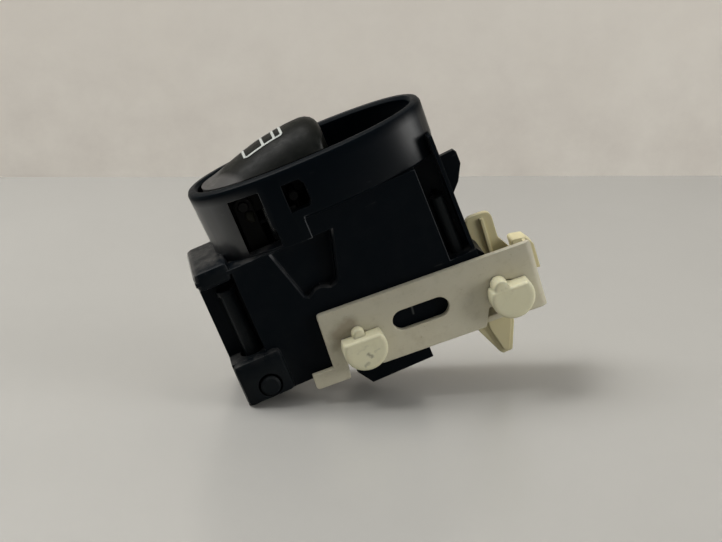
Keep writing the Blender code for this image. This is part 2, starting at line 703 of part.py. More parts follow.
def pin_cutters():
    """The holes for the foot's pin and the bracket's left stud, a blind hole and the snap windows."""
    front = BODY_FRONT - FOOT_PROUD
    foot_z = FOOT_PIN_Z + FOOT_HOLE_LIFT
    foot_end = front - FOOT_PIN_PROUD + FOOT_PIN_LENGTH + GAP
    hole_x = right_post_place()[0]
    hole_z = RIGHT_POST_TOP + CHANNEL_HOLE_RADIUS
    stud_x, stud_z = bracket_point(*STUD_PLACES["left"])
    tools = [
        rod("foot_pin_hole", (FOOT_PIN_X, front - 0.001, foot_z), (FOOT_PIN_X, foot_end, foot_z),
            FOOT_PIN_RADIUS + FOOT_HOLE_PLAY),
        rod("channel_hole", (hole_x, CHANNEL_BACK - 0.001, hole_z), (hole_x, CHANNEL_BACK + 0.0012, hole_z),
            CHANNEL_HOLE_RADIUS, 12),
        rod("stud_hole", (stud_x, BODY_FRONT - 0.001, stud_z), (stud_x, LOWER_FRONT + 0.001, stud_z),
            STUD_SHANK_RADIUS + GAP),
    ]
    play = 0.0005
    for number, x in enumerate(SNAP_XS):
        near, far = INNER_REAR - 0.001, BODY_REAR + 0.001
        tools.append(snap_box(f"snap_window_{number}", x, near, far, *snap_heights(play), play))
    return tools


def snap_heights(grow=0.0):
    """The cover's snap hooks and the windows they catch in."""
    top = BODY_BOTTOM + COVER_THICKNESS + SNAP_HEIGHT
    return top - SNAP_HOOK - grow, top + grow


def build_foot_pin(material):
    """A plain pin with a chamfered nose, pressed into the foot boss."""
    front = BODY_FRONT - FOOT_PROUD - FOOT_PIN_PROUD
    shoulder = front + FOOT_PIN_CHAMFER
    end = front + FOOT_PIN_LENGTH
    nose = FOOT_PIN_RADIUS - FOOT_PIN_CHAMFER
    profile = [(0.0, end), (FOOT_PIN_RADIUS, end), (FOOT_PIN_RADIUS, shoulder), (nose, front), (0.0, front)]
    pin = turned("foot_pin", profile)
    pin.rotation_euler = (-math.pi / 2, 0, 0)
    pin.location = (FOOT_PIN_X, 0, FOOT_PIN_Z)
    return keep(pin, material)


def rocker_height(x, y):
    """The rocker's upper face: a flat lip at the left, a dome up to the crest and a round nose."""
    share = min(1.0, max(0.0, (x - ROCKER_RISE_START) / (ROCKER_CREST_X - ROCKER_RISE_START)))
    rise = ROCKER_RISE * math.sin(share * math.pi / 2) ** 0.9
    side = max(0.0015, half_depth(*rocker_oval(), x))
    crown = max(0.0, 1 - (abs(y) / side) ** 2.4)
    past = min(max(0.0, x - ROCKER_CREST_X), ROCKER_NOSE_RADIUS)
    drop = ROCKER_NOSE_RADIUS - math.sqrt(ROCKER_NOSE_RADIUS ** 2 - past ** 2)
    return ROCKER_LIP + max(0.0, rise * crown - drop)


def rocker_oval(inset=0.0):
    return WELL_LENGTH - 2 * (ROCKER_END_GAP + inset), WELL_DEPTH - 2 * (ROCKER_SIDE_GAP + inset)


def rocker_outline(inset=0.0):
    """The left of the well's oval, less its gap, closed by the bowed right end."""
    length, depth = rocker_oval(inset)
    right = ROCKER_RIGHT - inset
    corner = right - ROCKER_END_BOW
    left_part = [p for p in oval(length, depth) if p[0] < corner - 0.0002]
    side = half_depth(length, depth, corner)
    bow = []
    for i in range(9):
        y = side * (-1 + 2 * i / 8)
        bow.append((right - ROCKER_END_BOW * (y / side) ** 2, y))
    return left_part + bow


def rocker_block(name, inset, drop, foot):
    """A solid under the rocker's upper face: inset from its outline, lowered by drop, down to foot."""
    outline = rocker_outline(inset)
    rings = [[(x, y, foot) for x, y in outline]]
    for share in ROCKER_RINGS:
        ring = [(ROCKER_HEART + (x - ROCKER_HEART) * share, y * share) for x, y in outline]
        rings.append([(x, y, rocker_height(x, y) - drop) for x, y in ring])
    return loft(name, rings)


def build_rocker(material, lever_material, pivot):
    cap = rocker_block("rocker_cap", 0.0, 0.0, ROCKER_SKIRT)
    cut(cap, rocker_block("cap_hollow", ROCKER_WALL, ROCKER_WALL, ROCKER_SKIRT - 0.001))
    web_outer = LEVER_WEB_INNER + LEVER_WEB
    for side, sign in (("front", -1), ("rear", 1)):
        low, high = sorted((sign * LEVER_WEB_INNER, sign * web_outer))
        rib_low = (PIVOT_X - 0.0026, low, ROCKER_SKIRT + 0.0001)
        rib = box(f"cap_rib_{side}", rib_low, (ROCKER_RIGHT - 0.0026, high, ROCKER_RISE))
        limit = rocker_block(f"rib_limit_{side}", ROCKER_WALL / 2, ROCKER_WALL / 2, ROCKER_SKIRT - 0.001)
        join(cap, combine(rib, limit, "INTERSECT"))
    keep(cap, material, pivot)

    plate_top = ROCKER_SKIRT - GAP
    left = pad_x("left") - LEVER_PAD
    right = pad_x("right") + LEVER_PAD + LEVER_END
    lever = box("rocker_lever", (left, -web_outer, plate_top - LEVER_TOP), (right, web_outer, plate_top))
    arm_low = LEVER_ARM_BOTTOM + 0.0006
    for side, sign in (("front", -1), ("rear", 1)):
        low, high = sorted((sign * LEVER_WEB_INNER, sign * web_outer))
        web_outline = [
            (left + LEVER_STEP, plate_top - OVERLAP), (left + LEVER_STEP, arm_low),
            (PIVOT_X - LEVER_PAD, arm_low),
            (PIVOT_X, PIVOT_Z - 0.0026), (PIVOT_X + 0.0030, PIVOT_Z - 0.0026),
            (right - LEVER_PAD - LEVER_END - 0.0034, arm_low + LEVER_STEP),
            (right - LEVER_END + 0.0002, arm_low + LEVER_STEP),
            (right - LEVER_STEP, plate_top - LEVER_TOP - 0.0012), (right - LEVER_STEP, plate_top - OVERLAP),
        ]
        join(lever, slab(f"lever_web_{side}", web_outline, low + LEVER_STEP, high - LEVER_STEP, "Y"))
    for side in PLUNGER_LEVERS:
        x = pad_x(side)
        reach = web_outer - OVERLAP / 2
        low = (x - LEVER_PAD, -reach, LEVER_ARM_BOTTOM)
        join(lever, box(f"lever_pad_{side}", low, (x + LEVER_PAD, reach, LEVER_ARM_BOTTOM + 0.0014)))
    peg_end = -half_depth(WELL_LENGTH, WELL_DEPTH, PEG_X) - 0.0008
    low, high = (PEG_X, -LEVER_WEB_INNER - OVERLAP, PEG_Z), (PEG_X, peg_end, PEG_Z)
    join(lever, rod("stop_peg", low, high, PEG_RADIUS, 16))
    bore_end = web_outer + 0.001
    way = LIGHT_GUIDE_SIZE / 2 + 0.0007
    cut(
        lever,
        rod("lever_bore", (PIVOT_X, -bore_end, PIVOT_Z), (PIVOT_X, bore_end, PIVOT_Z),
            PIVOT_PIN_RADIUS + RUNNING_GAP),
        box("lever_light_hole", (LIGHT_GUIDE_X - way, -way, plate_top - 0.002),
            (LIGHT_GUIDE_X + way, way, plate_top + 0.001)),
    )
    keep(lever, lever_material, pivot)


def pad_x(side):
    return PIVOT_X + PLUNGER_LEVERS[side]


def build_frame(material):
    """The plate under the well's floor, the two ears that carry the pivot pin and the two guide tubes."""
    plate_top = INNER_CEILING - GAP
    plate_bottom = plate_top - FRAME_PLATE
    ear_inner = LEVER_WEB_INNER + LEVER_WEB + RUNNING_GAP + 0.0001
    ear_outer = ear_inner + EAR_THICKNESS
    low = (INNER_LEFT + GAP, UPPER_FRONT + GAP, plate_bottom)
    frame = box("mechanism_frame", low, (INNER_RIGHT - GAP, INNER_REAR - GAP, plate_top))
    ear_foot = plate_bottom + OVERLAP
    ear = arc((PIVOT_X, PIVOT_Z), EAR_RADIUS, 0, 180, 11)
    ear += [(PIVOT_X - EAR_RADIUS, ear_foot), (PIVOT_X + EAR_RADIUS, ear_foot)]
    join(
        frame,
        slab("front_ear", ear, -ear_outer, -ear_inner, "Y"),
        slab("rear_ear", ear, ear_inner, ear_outer, "Y"),
    )
    for side in PLUNGER_LEVERS:
        x = pad_x(side)
        tube_radius = PISTON_RADIUS + RUNNING_GAP + TUBE_WALL
        tube = rod(f"tube_{side}", (x, 0, TUBE_BOTTOM), (x, 0, ear_foot), tube_radius)
        join(frame, tube)
    for number, (x, y) in enumerate(leg_places()):
        join(frame, rod(f"leg_{number}", (x, y, BOARD_TOP + GAP), (x, y, ear_foot), STANDOFF_RADIUS, 16))
    for side in PLUNGER_LEVERS:
        x = pad_x(side)
        cut(
            frame,
            rod(f"bore_{side}", (x, 0, TUBE_BOTTOM + TUBE_SEAT), (x, 0, plate_bottom),
                PISTON_RADIUS + RUNNING_GAP),
            rod(f"stem_way_{side}", (x, 0, TUBE_BOTTOM - 0.001), (x, 0, plate_top + 0.001),
                STEM_RADIUS + RUNNING_GAP),
        )
    half = LIGHT_GUIDE_SIZE / 2 + GAP
    cut(
        frame,
        rod("ear_bore", (PIVOT_X, -ear_outer - 0.001, PIVOT_Z), (PIVOT_X, ear_outer + 0.001, PIVOT_Z),
            PIVOT_PIN_RADIUS + PIN_CLEARANCE),
        box("frame_light_hole", (LIGHT_GUIDE_X - half, -half, plate_bottom - 0.001),
            (LIGHT_GUIDE_X + half, half, plate_top + 0.001)),
    )
    keep(frame, material)
    return ear_outer


def leg_places():
    """Where the frame stands on the board and the board stands on the cover."""
    inset = STANDOFF_RADIUS + GAP + 0.0004
    xs = (INNER_RIGHT - inset, LIGHT_GUIDE_X)
    ys = (UPPER_FRONT + inset, INNER_REAR - inset)
    return [(x, y) for x in xs for y in ys]


def build_plunger(side, plastic, brass, steel):
    x = pad_x(side)
    piston_bottom = PISTON_TOP - PISTON_THICKNESS
    crown = LEVER_ARM_BOTTOM - GAP
    tip = STEM_BOTTOM - 3 * CONTACT_THICKNESS
    profile = [
        (0.0, crown), (STEM_RADIUS * 0.6, crown - 0.0001), (STEM_RADIUS, crown - 0.0005),
        (STEM_RADIUS, PISTON_TOP),
        (PISTON_RADIUS, PISTON_TOP), (PISTON_RADIUS, piston_bottom), (STEM_RADIUS, piston_bottom),
        (STEM_RADIUS, STEM_BOTTOM), (STEM_TIP_RADIUS, STEM_BOTTOM), (STEM_TIP_RADIUS, tip), (0.0, tip),
    ]
    plunger = turned(f"plunger_{side}", profile)
    plunger.location = (x, 0, 0)
    keep(plunger, plastic)

    bridge_top = STEM_BOTTOM - 0.0001
    half_width, half_length = CONTACT_WIDTH / 2, CONTACT_LENGTH / 2
    bridge = box(
        f"contact_bridge_{side}", (x - half_width, -half_length, bridge_top - CONTACT_THICKNESS),
        (x + half_width, half_length, bridge_top),
    )
    hole_radius = STEM_TIP_RADIUS + PIN_CLEARANCE
    low, high = (x, 0, bridge_top - 0.001), (x, 0, bridge_top + 0.001)
    cut(bridge, rod(f"bridge_hole_{side}", low, high, hole_radius, 16))
    keep(bridge, brass, (x, 0, bridge_top))

    travel = abs(PLUNGER_LEVERS[side]) * HALF_TRAVEL
    post_top = bridge_top - CONTACT_THICKNESS - travel - 0.00015
    base_low = BOARD_TOP + GAP
    base_high = base_low + CONTACT_THICKNESS
    outer = CONTACT_LENGTH / 2
    inner = outer - CONTACT_FOOT
    outline = [
        (-outer, base_low), (outer, base_low), (outer, post_top), (inner, post_top), (inner, base_high),
        (-inner, base_high), (-inner, post_top), (-outer, post_top),
    ]
    keep(slab(f"fixed_contact_{side}", outline, x - CONTACT_WIDTH / 2, x + CONTACT_WIDTH / 2, "X"), brass)
    build_spring(side, x, TUBE_BOTTOM + TUBE_SEAT + GAP, piston_bottom - GAP, steel)


def build_spring(side, x, low, high, steel):
    """A plain helix between its seat and the piston."""
    curve = bpy.data.curves.new(f"spring_{side}", "CURVE")
    curve.dimensions = "3D"
    curve.bevel_depth = SPRING_WIRE
    curve.bevel_resolution = 1
    curve.use_fill_caps = True
    per_turn = 14
    count = int(SPRING_TURNS * per_turn) + 1
    spline = curve.splines.new("POLY")
    spline.points.add(count - 1)
    for i, point in enumerate(spline.points):
        angle = 2 * math.pi * i / per_turn
        z = low + SPRING_WIRE + (high - low - 2 * SPRING_WIRE) * i / (count - 1)
        point.co = (SPRING_RADIUS * math.cos(angle), SPRING_RADIUS * math.sin(angle), z, 1.0)
    spring = bpy.data.objects.new(f"spring_{side}", curve)
    HELPERS.objects.link(spring)
    spring.location = (x, 0, 0)
    keep(spring, steel)


def build_electrics(green, clear, amber, brass, black):
    """The board on the cover's standoffs, the lamp, its light guide, and the terminals in their shroud."""
    room_low = (INNER_LEFT + GAP, LOWER_FRONT + GAP)
    room_high = (INNER_RIGHT - GAP, INNER_REAR - GAP)
    board_foot = BOARD_TOP - BOARD_THICKNESS
    keep(box("circuit_board", (*room_low, board_foot), (*room_high, BOARD_TOP)), green)

    half = LIGHT_GUIDE_SIZE / 2
    left, right = LIGHT_GUIDE_X - half, LIGHT_GUIDE_X + half
    lamp_top = BOARD_TOP + GAP + LAMP_HEIGHT
    keep(box("lamp", (left, -half, BOARD_TOP + GAP), (right, half, lamp_top), 0.0004), amber)
    keep(box("light_guide", (left, -half, lamp_top + GAP), (right, half, LIGHT_GUIDE_TOP), 0.0003), clear)

    cover_top = BODY_BOTTOM + COVER_THICKNESS
    cover = box("base_cover", (*room_low, BODY_BOTTOM), (*room_high, cover_top))
    for number, (x, y) in enumerate(leg_places()):
        low, high = (x, y, cover_top - OVERLAP), (x, y, board_foot - GAP)
        join(cover, rod(f"standoff_{number}", low, high, STANDOFF_RADIUS, 16))
    hook_low, hook_high = snap_heights()
    rear = INNER_REAR - GAP
    for number, x in enumerate(SNAP_XS):
        join(
            cover,
            snap_box(f"snap_strip_{number}", x, rear - SNAP_THICKNESS, rear, cover_top - OVERLAP, hook_high),
            snap_box(f"snap_hook_{number}", x, rear - OVERLAP, rear + SNAP_CATCH, hook_low, hook_high),
        )
    shroud = shroud_solid()
    y = (SHROUD_FRONT + SHROUD_REAR) / 2
    half = TERMINAL_SIZE / 2
    way = half + GAP
    for number in range(TERMINAL_COUNT):
        x = terminal_x(number)
        low, high = (x - way, y - way), (x + way, y + way)
        cut(cover, box(f"cover_way_{number}", (*low, BODY_BOTTOM - 0.001), (*high, cover_top + 0.001)))
        cut(shroud, box(f"shroud_way_{number}", (*low, SHROUD_BOTTOM), (*high, BODY_BOTTOM + 0.001)))
        low, high = (x - half, y - half, TERMINAL_END), (x + half, y + half, board_foot - GAP)
        keep(box(f"terminal_{number + 1}", low, high), brass)
    keep(cover, black)
    keep(shroud, black)


def terminal_x(number):
    middle = (SHROUD_LEFT + SHROUD_RIGHT) / 2
    return middle + (number - (TERMINAL_COUNT - 1) / 2) * TERMINAL_PITCH


def shroud_solid():
    """The connector's shroud under the cover, open downwards, with its lower left corner cut off."""
    roof = BODY_BOTTOM - GAP
    slant = SHROUD_BOTTOM + 1.6 * SHROUD_CORNER
    outline = [
        (SHROUD_LEFT, roof), (SHROUD_LEFT, slant), (SHROUD_LEFT + SHROUD_CORNER, SHROUD_BOTTOM),
        (SHROUD_RIGHT, SHROUD_BOTTOM), (SHROUD_RIGHT, roof),
    ]
    shroud = slab("connector_shroud", outline, SHROUD_FRONT, SHROUD_REAR, "Y")
    left, right = SHROUD_LEFT + SHROUD_WALL, SHROUD_RIGHT - SHROUD_WALL
    hollow = [
        (left, roof - SHROUD_WALL), (left, slant), (left + SHROUD_CORNER, SHROUD_BOTTOM - 0.0001),
        (left + SHROUD_CORNER, SHROUD_BOTTOM - 0.001), (right, SHROUD_BOTTOM - 0.001),
        (right, roof - SHROUD_WALL),
    ]
    return cut(shroud, slab("socket", hollow, SHROUD_FRONT + SHROUD_WALL, SHROUD_REAR - SHROUD_WALL, "Y"))


def bracket_point(x, z):
    """World x and z of a point drawn on the bracket."""
    c, s = math.cos(BRACKET_TURN), math.sin(BRACKET_TURN)
    return BRACKET_X + x * c + z * s, BRACKET_Z - x * s + z * c


def rounded(corners, count=4):
    """A closed outline from corners of (x, z, rounding); a rounding of 0 keeps a corner sharp."""
    points = []
    for i, (x, z, radius) in enumerate(corners):
        here = (x, z)
        before, after = corners[i - 1][:2], corners[(i + 1) % len(corners)][:2]
        if not radius:
            points.append(here)
            continue
        back_x, back_z = direction(here, before)
        on_x, on_z = direction(here, after)
        half = math.acos(max(-1.0, min(1.0, back_x * on_x + back_z * on_z))) / 2
        reach = radius / math.tan(half)
        start = (x + back_x * reach, z + back_z * reach)
        end = (x + on_x * reach, z + on_z * reach)
        for k in range(count + 1):
            t = k / count
            shares = ((1 - t) ** 2, 2 * t * (1 - t), t ** 2)
            points.append(tuple(sum(s * v for s, v in zip(shares, ends)) for ends in zip(start, here, end)))
    return points


def plate_outline():
    """The front plate seen from the front, with its hook at the lower left and two notches in its foot."""
    low, right = -PLATE_HEIGHT, PLATE_LENGTH
    hook_top, hook_low, step = low + HOOK_HEIGHT - HOOK_DROP, low - HOOK_DROP, low + PLATE_STEP
    corners = [
        (0, 0, PLATE_CORNER), (0, hook_top, 0), (-HOOK_REACH, hook_top, 0.0003),
        (-HOOK_REACH, hook_low, PLATE_CORNER), (0.0030, hook_low, 0.0004), (0.0034, step - 0.0006, 0),
        (0.0104, step - 0.0006, 0), (0.0108, low, 0.0004),
        (right - 0.0150, low - 0.0002, PLATE_CORNER), (right - 0.0132, step, 0), (right - 0.0049, step, 0),
        (right - 0.0046, low, 0.0004), (right - 0.0006, low, PLATE_CORNER), (right, 0, PLATE_CORNER),
    ]
    return rounded(corners)


def tail_outlines():
    """The tail's set-back web and the narrower face on it."""
    top, bend = -PLATE_HEIGHT + 0.0003, -PLATE_HEIGHT - PLATE_STEP - 0.0004
    web = [
        (TAIL_LEFT, top, 0), (TAIL_LEFT - 0.0003, bend, 0), (TAIL_LEFT + 0.0030, TAIL_TIP + 0.0006, 0),
        (TAIL_LEFT + 0.0036, TAIL_TIP, 0.0004), (TAIL_RIGHT - 0.0023, TAIL_TIP + 0.0001, 0.0005),
        (TAIL_RIGHT, bend - 0.0003, 0.0004), (TAIL_RIGHT, top, 0),
    ]
    face = [
        (TAIL_LEFT + 0.0022, top, 0), (TAIL_LEFT + 0.0022, bend, 0.0004),
        (TAIL_LEFT + 0.0040, TAIL_TIP + 0.0008, 0.0004), (TAIL_RIGHT - 0.0030, TAIL_TIP + 0.0008, 0.0005),
        (TAIL_RIGHT - 0.0007, bend - 0.0001, 0.0004), (TAIL_RIGHT - 0.0007, top, 0),
    ]
    return rounded(web), rounded(face)


def blade_outline():
    """The rear blade: round at its top, flared at its foot, where it runs into the end wall."""
    low, right = -PLATE_HEIGHT, PLATE_LENGTH
    return rounded([
        (BLADE_LEFT, low, 0), (right, low, 0), (right, -0.0076, 0), (BLADE_RIGHT + 0.0024, -0.0070, 0.0012),
        (BLADE_RIGHT, -0.0030, 0.0030), (BLADE_RIGHT, BLADE_RISE, 0.0018),
        (BLADE_LEFT - 0.0012, BLADE_RISE, 0.0018),
    ])


def bend_cutter():
    """Rounds the upright edge where the plate turns back into the end wall."""
    x, y = PLATE_LENGTH - BRACKET_BEND, PLATE_FRONT + BRACKET_BEND
    low = -PLATE_HEIGHT - 0.001
    corner = box("bend_corner", (x, PLATE_FRONT - 0.001, low), (PLATE_LENGTH + 0.001, y, 0.001))
    return cut(corner, rod("bend_round", (x, y, low - 0.001), (x, y, 0.002), BRACKET_BEND, 32))


def seated(obj, seat):
    """Parents an object to the bracket's seat, with every tool of its Booleans."""
    obj.parent = seat
    for step in obj.modifiers:
        if step.type == "BOOLEAN":
            seated(step.object, seat)


def build_bracket(cream, pale):
    seat = bpy.data.objects.new("bracket_seat", None)
    PARTS.objects.link(seat)
    seat.location = (BRACKET_X, 0, BRACKET_Z)
    seat.rotation_euler = (0, BRACKET_TURN, 0)

    low, right = -PLATE_HEIGHT, PLATE_LENGTH
    end_low = right - BRACKET_WALL
    blade_front = BRACKET_REAR - BRACKET_WALL
    web, face = tail_outlines()
    ear = [
        (right - 0.0022, -0.0120, 0), (right + EAR_REACH, -0.0120, 0), (right + EAR_REACH, -0.0060, 0.0008),
        (right + EAR_REACH - 0.0014, -0.0040, 0.0008), (right - 0.0022, -0.0034, 0.0008),
    ]
    gusset_left, gusset_right = end_low + 0.0002, right - 0.0006
    gusset = [
        (gusset_left, low + 0.0004), (gusset_right, low + 0.0004),
        (gusset_right, -0.0006), (gusset_left, -0.0006),
    ]
    plate = slab("mounting_bracket", plate_outline(), PLATE_FRONT, PLATE_BACK, "Y")
    join(
        plate,
        box("hook_lip", (-HOOK_REACH + 0.0004, PLATE_FRONT + 0.0002, low - 0.0006),
            (0.0026, LOWER_FRONT, low + 0.0008)),
        slab("tail", web, TAIL_FRONT + 0.0008, TAIL_FRONT + TAIL_THICKNESS, "Y"),
        slab("tail_face", face, TAIL_FRONT, TAIL_FRONT + 0.0012, "Y"),
        slab("blade", blade_outline(), blade_front, BRACKET_REAR, "Y"),
        box("blade_rib", (TAIL_RIGHT, blade_front - 0.0008, low + 0.001),
            (TAIL_RIGHT + 0.0008, BRACKET_REAR - OVERLAP, BLADE_RISE - 0.0010)),
        box("end_wall", (end_low, PLATE_FRONT + 0.0003, low + 0.0001),
            (right - 0.0003, BRACKET_REAR - 0.0001, -0.0060)),
        box("end_floor", (TAIL_LEFT - 0.0005, PLATE_BACK - OVERLAP, low + 0.0002),
            (right - 0.0004, BRACKET_REAR - 0.0002, low + BRACKET_WALL)),
        slab("ear", rounded(ear), 0.0008, BRACKET_REAR - 0.0003, "Y"),
        slab("end_gusset", gusset, PLATE_FRONT + 0.0002, PLATE_BACK + 0.0030, "Y"),
    )
    slot = arc((SLOT_START, SLOT_Z), SLOT_RADIUS, 90, 270, 13)
    slot += arc((SLOT_START + SLOT_SPAN, SLOT_Z), SLOT_RADIUS, -90, 90, 13)
    cut(plate, slab("bracket_slot", slot, PLATE_FRONT - 0.001, PLATE_BACK + 0.001, "Y"), bend_cutter())
    for side, (x, z) in STUD_PLACES.items():
        hole_end = PLATE_BACK + 0.0005
        near = (x, PLATE_FRONT - 0.001, z)
        cut(plate, rod(f"plate_hole_{side}", near, (x, hole_end, z), STUD_SHANK_RADIUS + GAP))
        build_stud(side, x, z, pale, seat)
    seated(keep(plate, cream), seat)


def build_stud(side, x, z, pale, seat):
    """A thick D-shaped head with a chamfered face, a small round nub above its flat, and a shank."""
    back = PLATE_FRONT - GAP
    front = back - STUD_HEAD
    half_round = arc((x, z), STUD_HEAD_RADIUS, -210, 30, 25)
    levels = [(back, 0.0), (front + STUD_CHAMFER, 0.0), (front, -STUD_CHAMFER)]
    stud = loft(f"stud_{side}", levels_along_y(half_round, levels))
    across, above, radius, proud = STUD_NUBS[side]
    nub_x, nub_z = x + across, z + above
    end = LOWER_FRONT - GAP if side == "left" else PLATE_BACK
    join(
        stud,
        rod(f"nub_{side}", (nub_x, back, nub_z), (nub_x, back - proud, nub_z), radius,
            end_radius=radius - 0.0002),
        rod(f"shank_{side}", (x, back - 2 * OVERLAP, z), (x, end, z), STUD_SHANK_RADIUS),
    )
    seated(keep(stud, pale), seat)


def main():
    clear_scene()
    black = finish("black_plastic", (0.020, 0.022, 0.025), 0.45)
    grey = finish("rocker_grey", (0.045, 0.046, 0.048), 0.50)
    dark_nylon = finish("dark_nylon", (0.05, 0.05, 0.05), 0.40)
    cream = finish("cream_nylon", (0.62, 0.58, 0.45), 0.50)
    pale = finish("pale_nylon", (0.80, 0.77, 0.62), 0.45)
    brass = finish("brass", (0.72, 0.52, 0.22), 0.30, 1.0)
    steel = finish("steel", (0.55, 0.55, 0.56), 0.30, 1.0)
    green = finish("board_green", (0.03, 0.16, 0.07), 0.50)
    clear = finish("light_guide_clear", (0.80, 0.82, 0.82), 0.10)
    amber = finish("lamp_body", (0.75, 0.55, 0.20), 0.30)

    pivot = (PIVOT_X, 0.0, PIVOT_Z)
    build_housing(black)
    build_foot_pin(black)
    build_rocker(grey, dark_nylon, pivot)
    ear_outer = build_frame(dark_nylon)
    pin_end = ear_outer + PIN_PROUD
    pin = rod("pivot_pin", (PIVOT_X, -pin_end, PIVOT_Z), (PIVOT_X, pin_end, PIVOT_Z), PIVOT_PIN_RADIUS)
    keep(pin, steel)
    for side in PLUNGER_LEVERS:
        build_plunger(side, dark_nylon, brass, steel)
    build_electrics(green, clear, amber, brass, black)
    build_bracket(cream, pale)


main()
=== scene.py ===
# %% [markdown]
# # A power window switch block, dressed for its photograph
# The object is the switch block of a car door: a black moulded housing with an oval collar, a
# dark grey rocker in the left half of the collar, an open finger well in the right half, and a
# cream nylon bracket with two round studs. The CAD model gives every size. This script gives the
# looks: plastics with grain and dust, the white window sign, the lamps and the camera.
#
# The frame comes first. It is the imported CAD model, in metres, and it is never moved or reshaped.

# %% The fixed frame
import json
import math

import bmesh
import bpy
from mathutils import Matrix, Vector

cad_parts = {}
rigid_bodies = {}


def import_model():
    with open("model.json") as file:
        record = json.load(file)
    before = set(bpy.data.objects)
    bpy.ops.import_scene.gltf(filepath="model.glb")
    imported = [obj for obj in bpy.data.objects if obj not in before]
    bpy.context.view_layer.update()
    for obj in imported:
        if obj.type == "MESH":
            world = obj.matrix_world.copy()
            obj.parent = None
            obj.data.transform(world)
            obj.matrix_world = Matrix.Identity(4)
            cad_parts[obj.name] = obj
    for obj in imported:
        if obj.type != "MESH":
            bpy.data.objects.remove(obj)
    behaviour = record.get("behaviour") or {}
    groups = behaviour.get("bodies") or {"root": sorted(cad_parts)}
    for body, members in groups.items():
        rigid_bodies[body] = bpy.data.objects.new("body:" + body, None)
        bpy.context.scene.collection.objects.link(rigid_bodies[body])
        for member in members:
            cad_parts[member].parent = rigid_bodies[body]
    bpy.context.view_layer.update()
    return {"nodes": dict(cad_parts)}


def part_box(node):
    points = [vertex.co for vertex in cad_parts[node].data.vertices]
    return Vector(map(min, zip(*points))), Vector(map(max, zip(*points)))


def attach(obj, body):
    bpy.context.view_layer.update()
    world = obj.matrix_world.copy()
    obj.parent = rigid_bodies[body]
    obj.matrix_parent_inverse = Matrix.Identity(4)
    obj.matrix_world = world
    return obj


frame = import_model()

# %% [markdown]
# ## Where the camera stands
# The block rests on a table on the foot of its housing, so it leans over to the right. In the
# CAD frame the block is upright, and so it is the table and the camera that lean. The camera looks
# from the front and a little from above, with a long lens, about 0.4 m away.
#
# A camera looks along its own -Z, so its matrix is built from three directions: to the right in
# the picture, up in the picture, and back from the object to the lens.

# %% The camera
PICTURE_WIDTH = 722
FOCAL_PIXELS = 1800.0
AZIMUTH = math.radians(-2.0)
ELEVATION = math.radians(20.97)
ROLL = math.radians(22.53)
DISTANCE = 0.407
LOOK_POINT = Vector((0.00119, 0.0, -0.03295))


def camera_directions():
    """Right, up and back of a camera that looks at the block, turned by its roll."""
    back = Vector((
        math.sin(AZIMUTH) * math.cos(ELEVATION),
        -math.cos(AZIMUTH) * math.cos(ELEVATION),
        math.sin(ELEVATION),
    ))
    level = Vector((math.cos(AZIMUTH), math.sin(AZIMUTH), 0.0))
    above = back.cross(level)
    right = math.cos(ROLL) * level - math.sin(ROLL) * above
    up = math.sin(ROLL) * level + math.cos(ROLL) * above
    return right, up, back


right, up, back = camera_directions()
place = LOOK_POINT + back * DISTANCE
camera_data = bpy.data.cameras.new("camera")
camera_data.sensor_width = 36.0
camera_data.lens = FOCAL_PIXELS * camera_data.sensor_width / PICTURE_WIDTH
camera_data.clip_start = 0.01
camera = bpy.data.objects.new("camera", camera_data)
camera.matrix_world = Matrix((
    (right.x, up.x, back.x, place.x),
    (right.y, up.y, back.y, place.y),
    (right.z, up.z, back.z, place.z),
    (0.0, 0.0, 0.0, 1.0),
))
bpy.context.scene.collection.objects.link(camera)
bpy.context.scene.camera = camera
bpy.context.scene.view_settings.view_transform = "Standard"
print("lens", round(camera_data.lens, 2), "mm, camera at", [round(value, 3) for value in place])

# %% [markdown]
# ## Small helpers for shader nodes
# Materials here are built from nodes in code. Two helpers keep that short: one makes a node with
# its settings and inputs in a single call, and one makes a node group with named sockets. A group
# is the natural home for an effect that several plastics share, such as grain or dust, because
# it is then tuned in one place.

# %% Helpers for nodes and groups


def add_node(tree, kind, settings=None, **inputs):
    """A new node; settings are its own properties, and each input is a value or another socket."""
    node = tree.nodes.new(kind)
    for label, value in (settings or {}).items():
        setattr(node, label, value)
    for label, value in inputs.items():
        key = int(label[1:]) if label[0] == "_" else label.replace("_", " ")
        socket = node.inputs[key]
        if isinstance(value, bpy.types.NodeSocket):
            tree.links.new(value, socket)
        else:
            socket.default_value = value
    return node


def new_group(name, inputs, outputs):
    """A shader node group; inputs are {name: (kind, value)} and outputs are {name: kind}."""
    tree = bpy.data.node_groups.new(name, "ShaderNodeTree")
    for label, (kind, value) in inputs.items():
        socket = tree.interface.new_socket(label, in_out="INPUT", socket_type="NodeSocket" + kind)
        socket.default_value = value
    for label, kind in outputs.items():
        tree.interface.new_socket(label, in_out="OUTPUT", socket_type="NodeSocket" + kind)
    return tree, tree.nodes.new("NodeGroupInput"), tree.nodes.new("NodeGroupOutput")


def math_node(tree, operation, first, second=0.5, third=0.0, clamp=False):
    """The result of a Math node."""
    settings = {"operation": operation, "use_clamp": clamp}
    return add_node(tree, "ShaderNodeMath", settings, _0=first, _1=second, _2=third).outputs[0]


def ramp(tree, value, low, high, out_low=0.0, out_high=1.0):
    """A value stretched from low..high to out_low..out_high, and clamped."""
    labels = {"Value": value, "From_Min": low, "From_Max": high, "To_Min": out_low, "To_Max": out_high}
    return add_node(tree, "ShaderNodeMapRange", {"clamp": True}, **labels).outputs["Result"]


def blend_colour(tree, factor, first, second):
    """Two colours mixed by a factor."""
    settings = {"data_type": "RGBA", "clamp_factor": True}
    return add_node(tree, "ShaderNodeMix", settings, _0=factor, _6=first, _7=second).outputs[2]


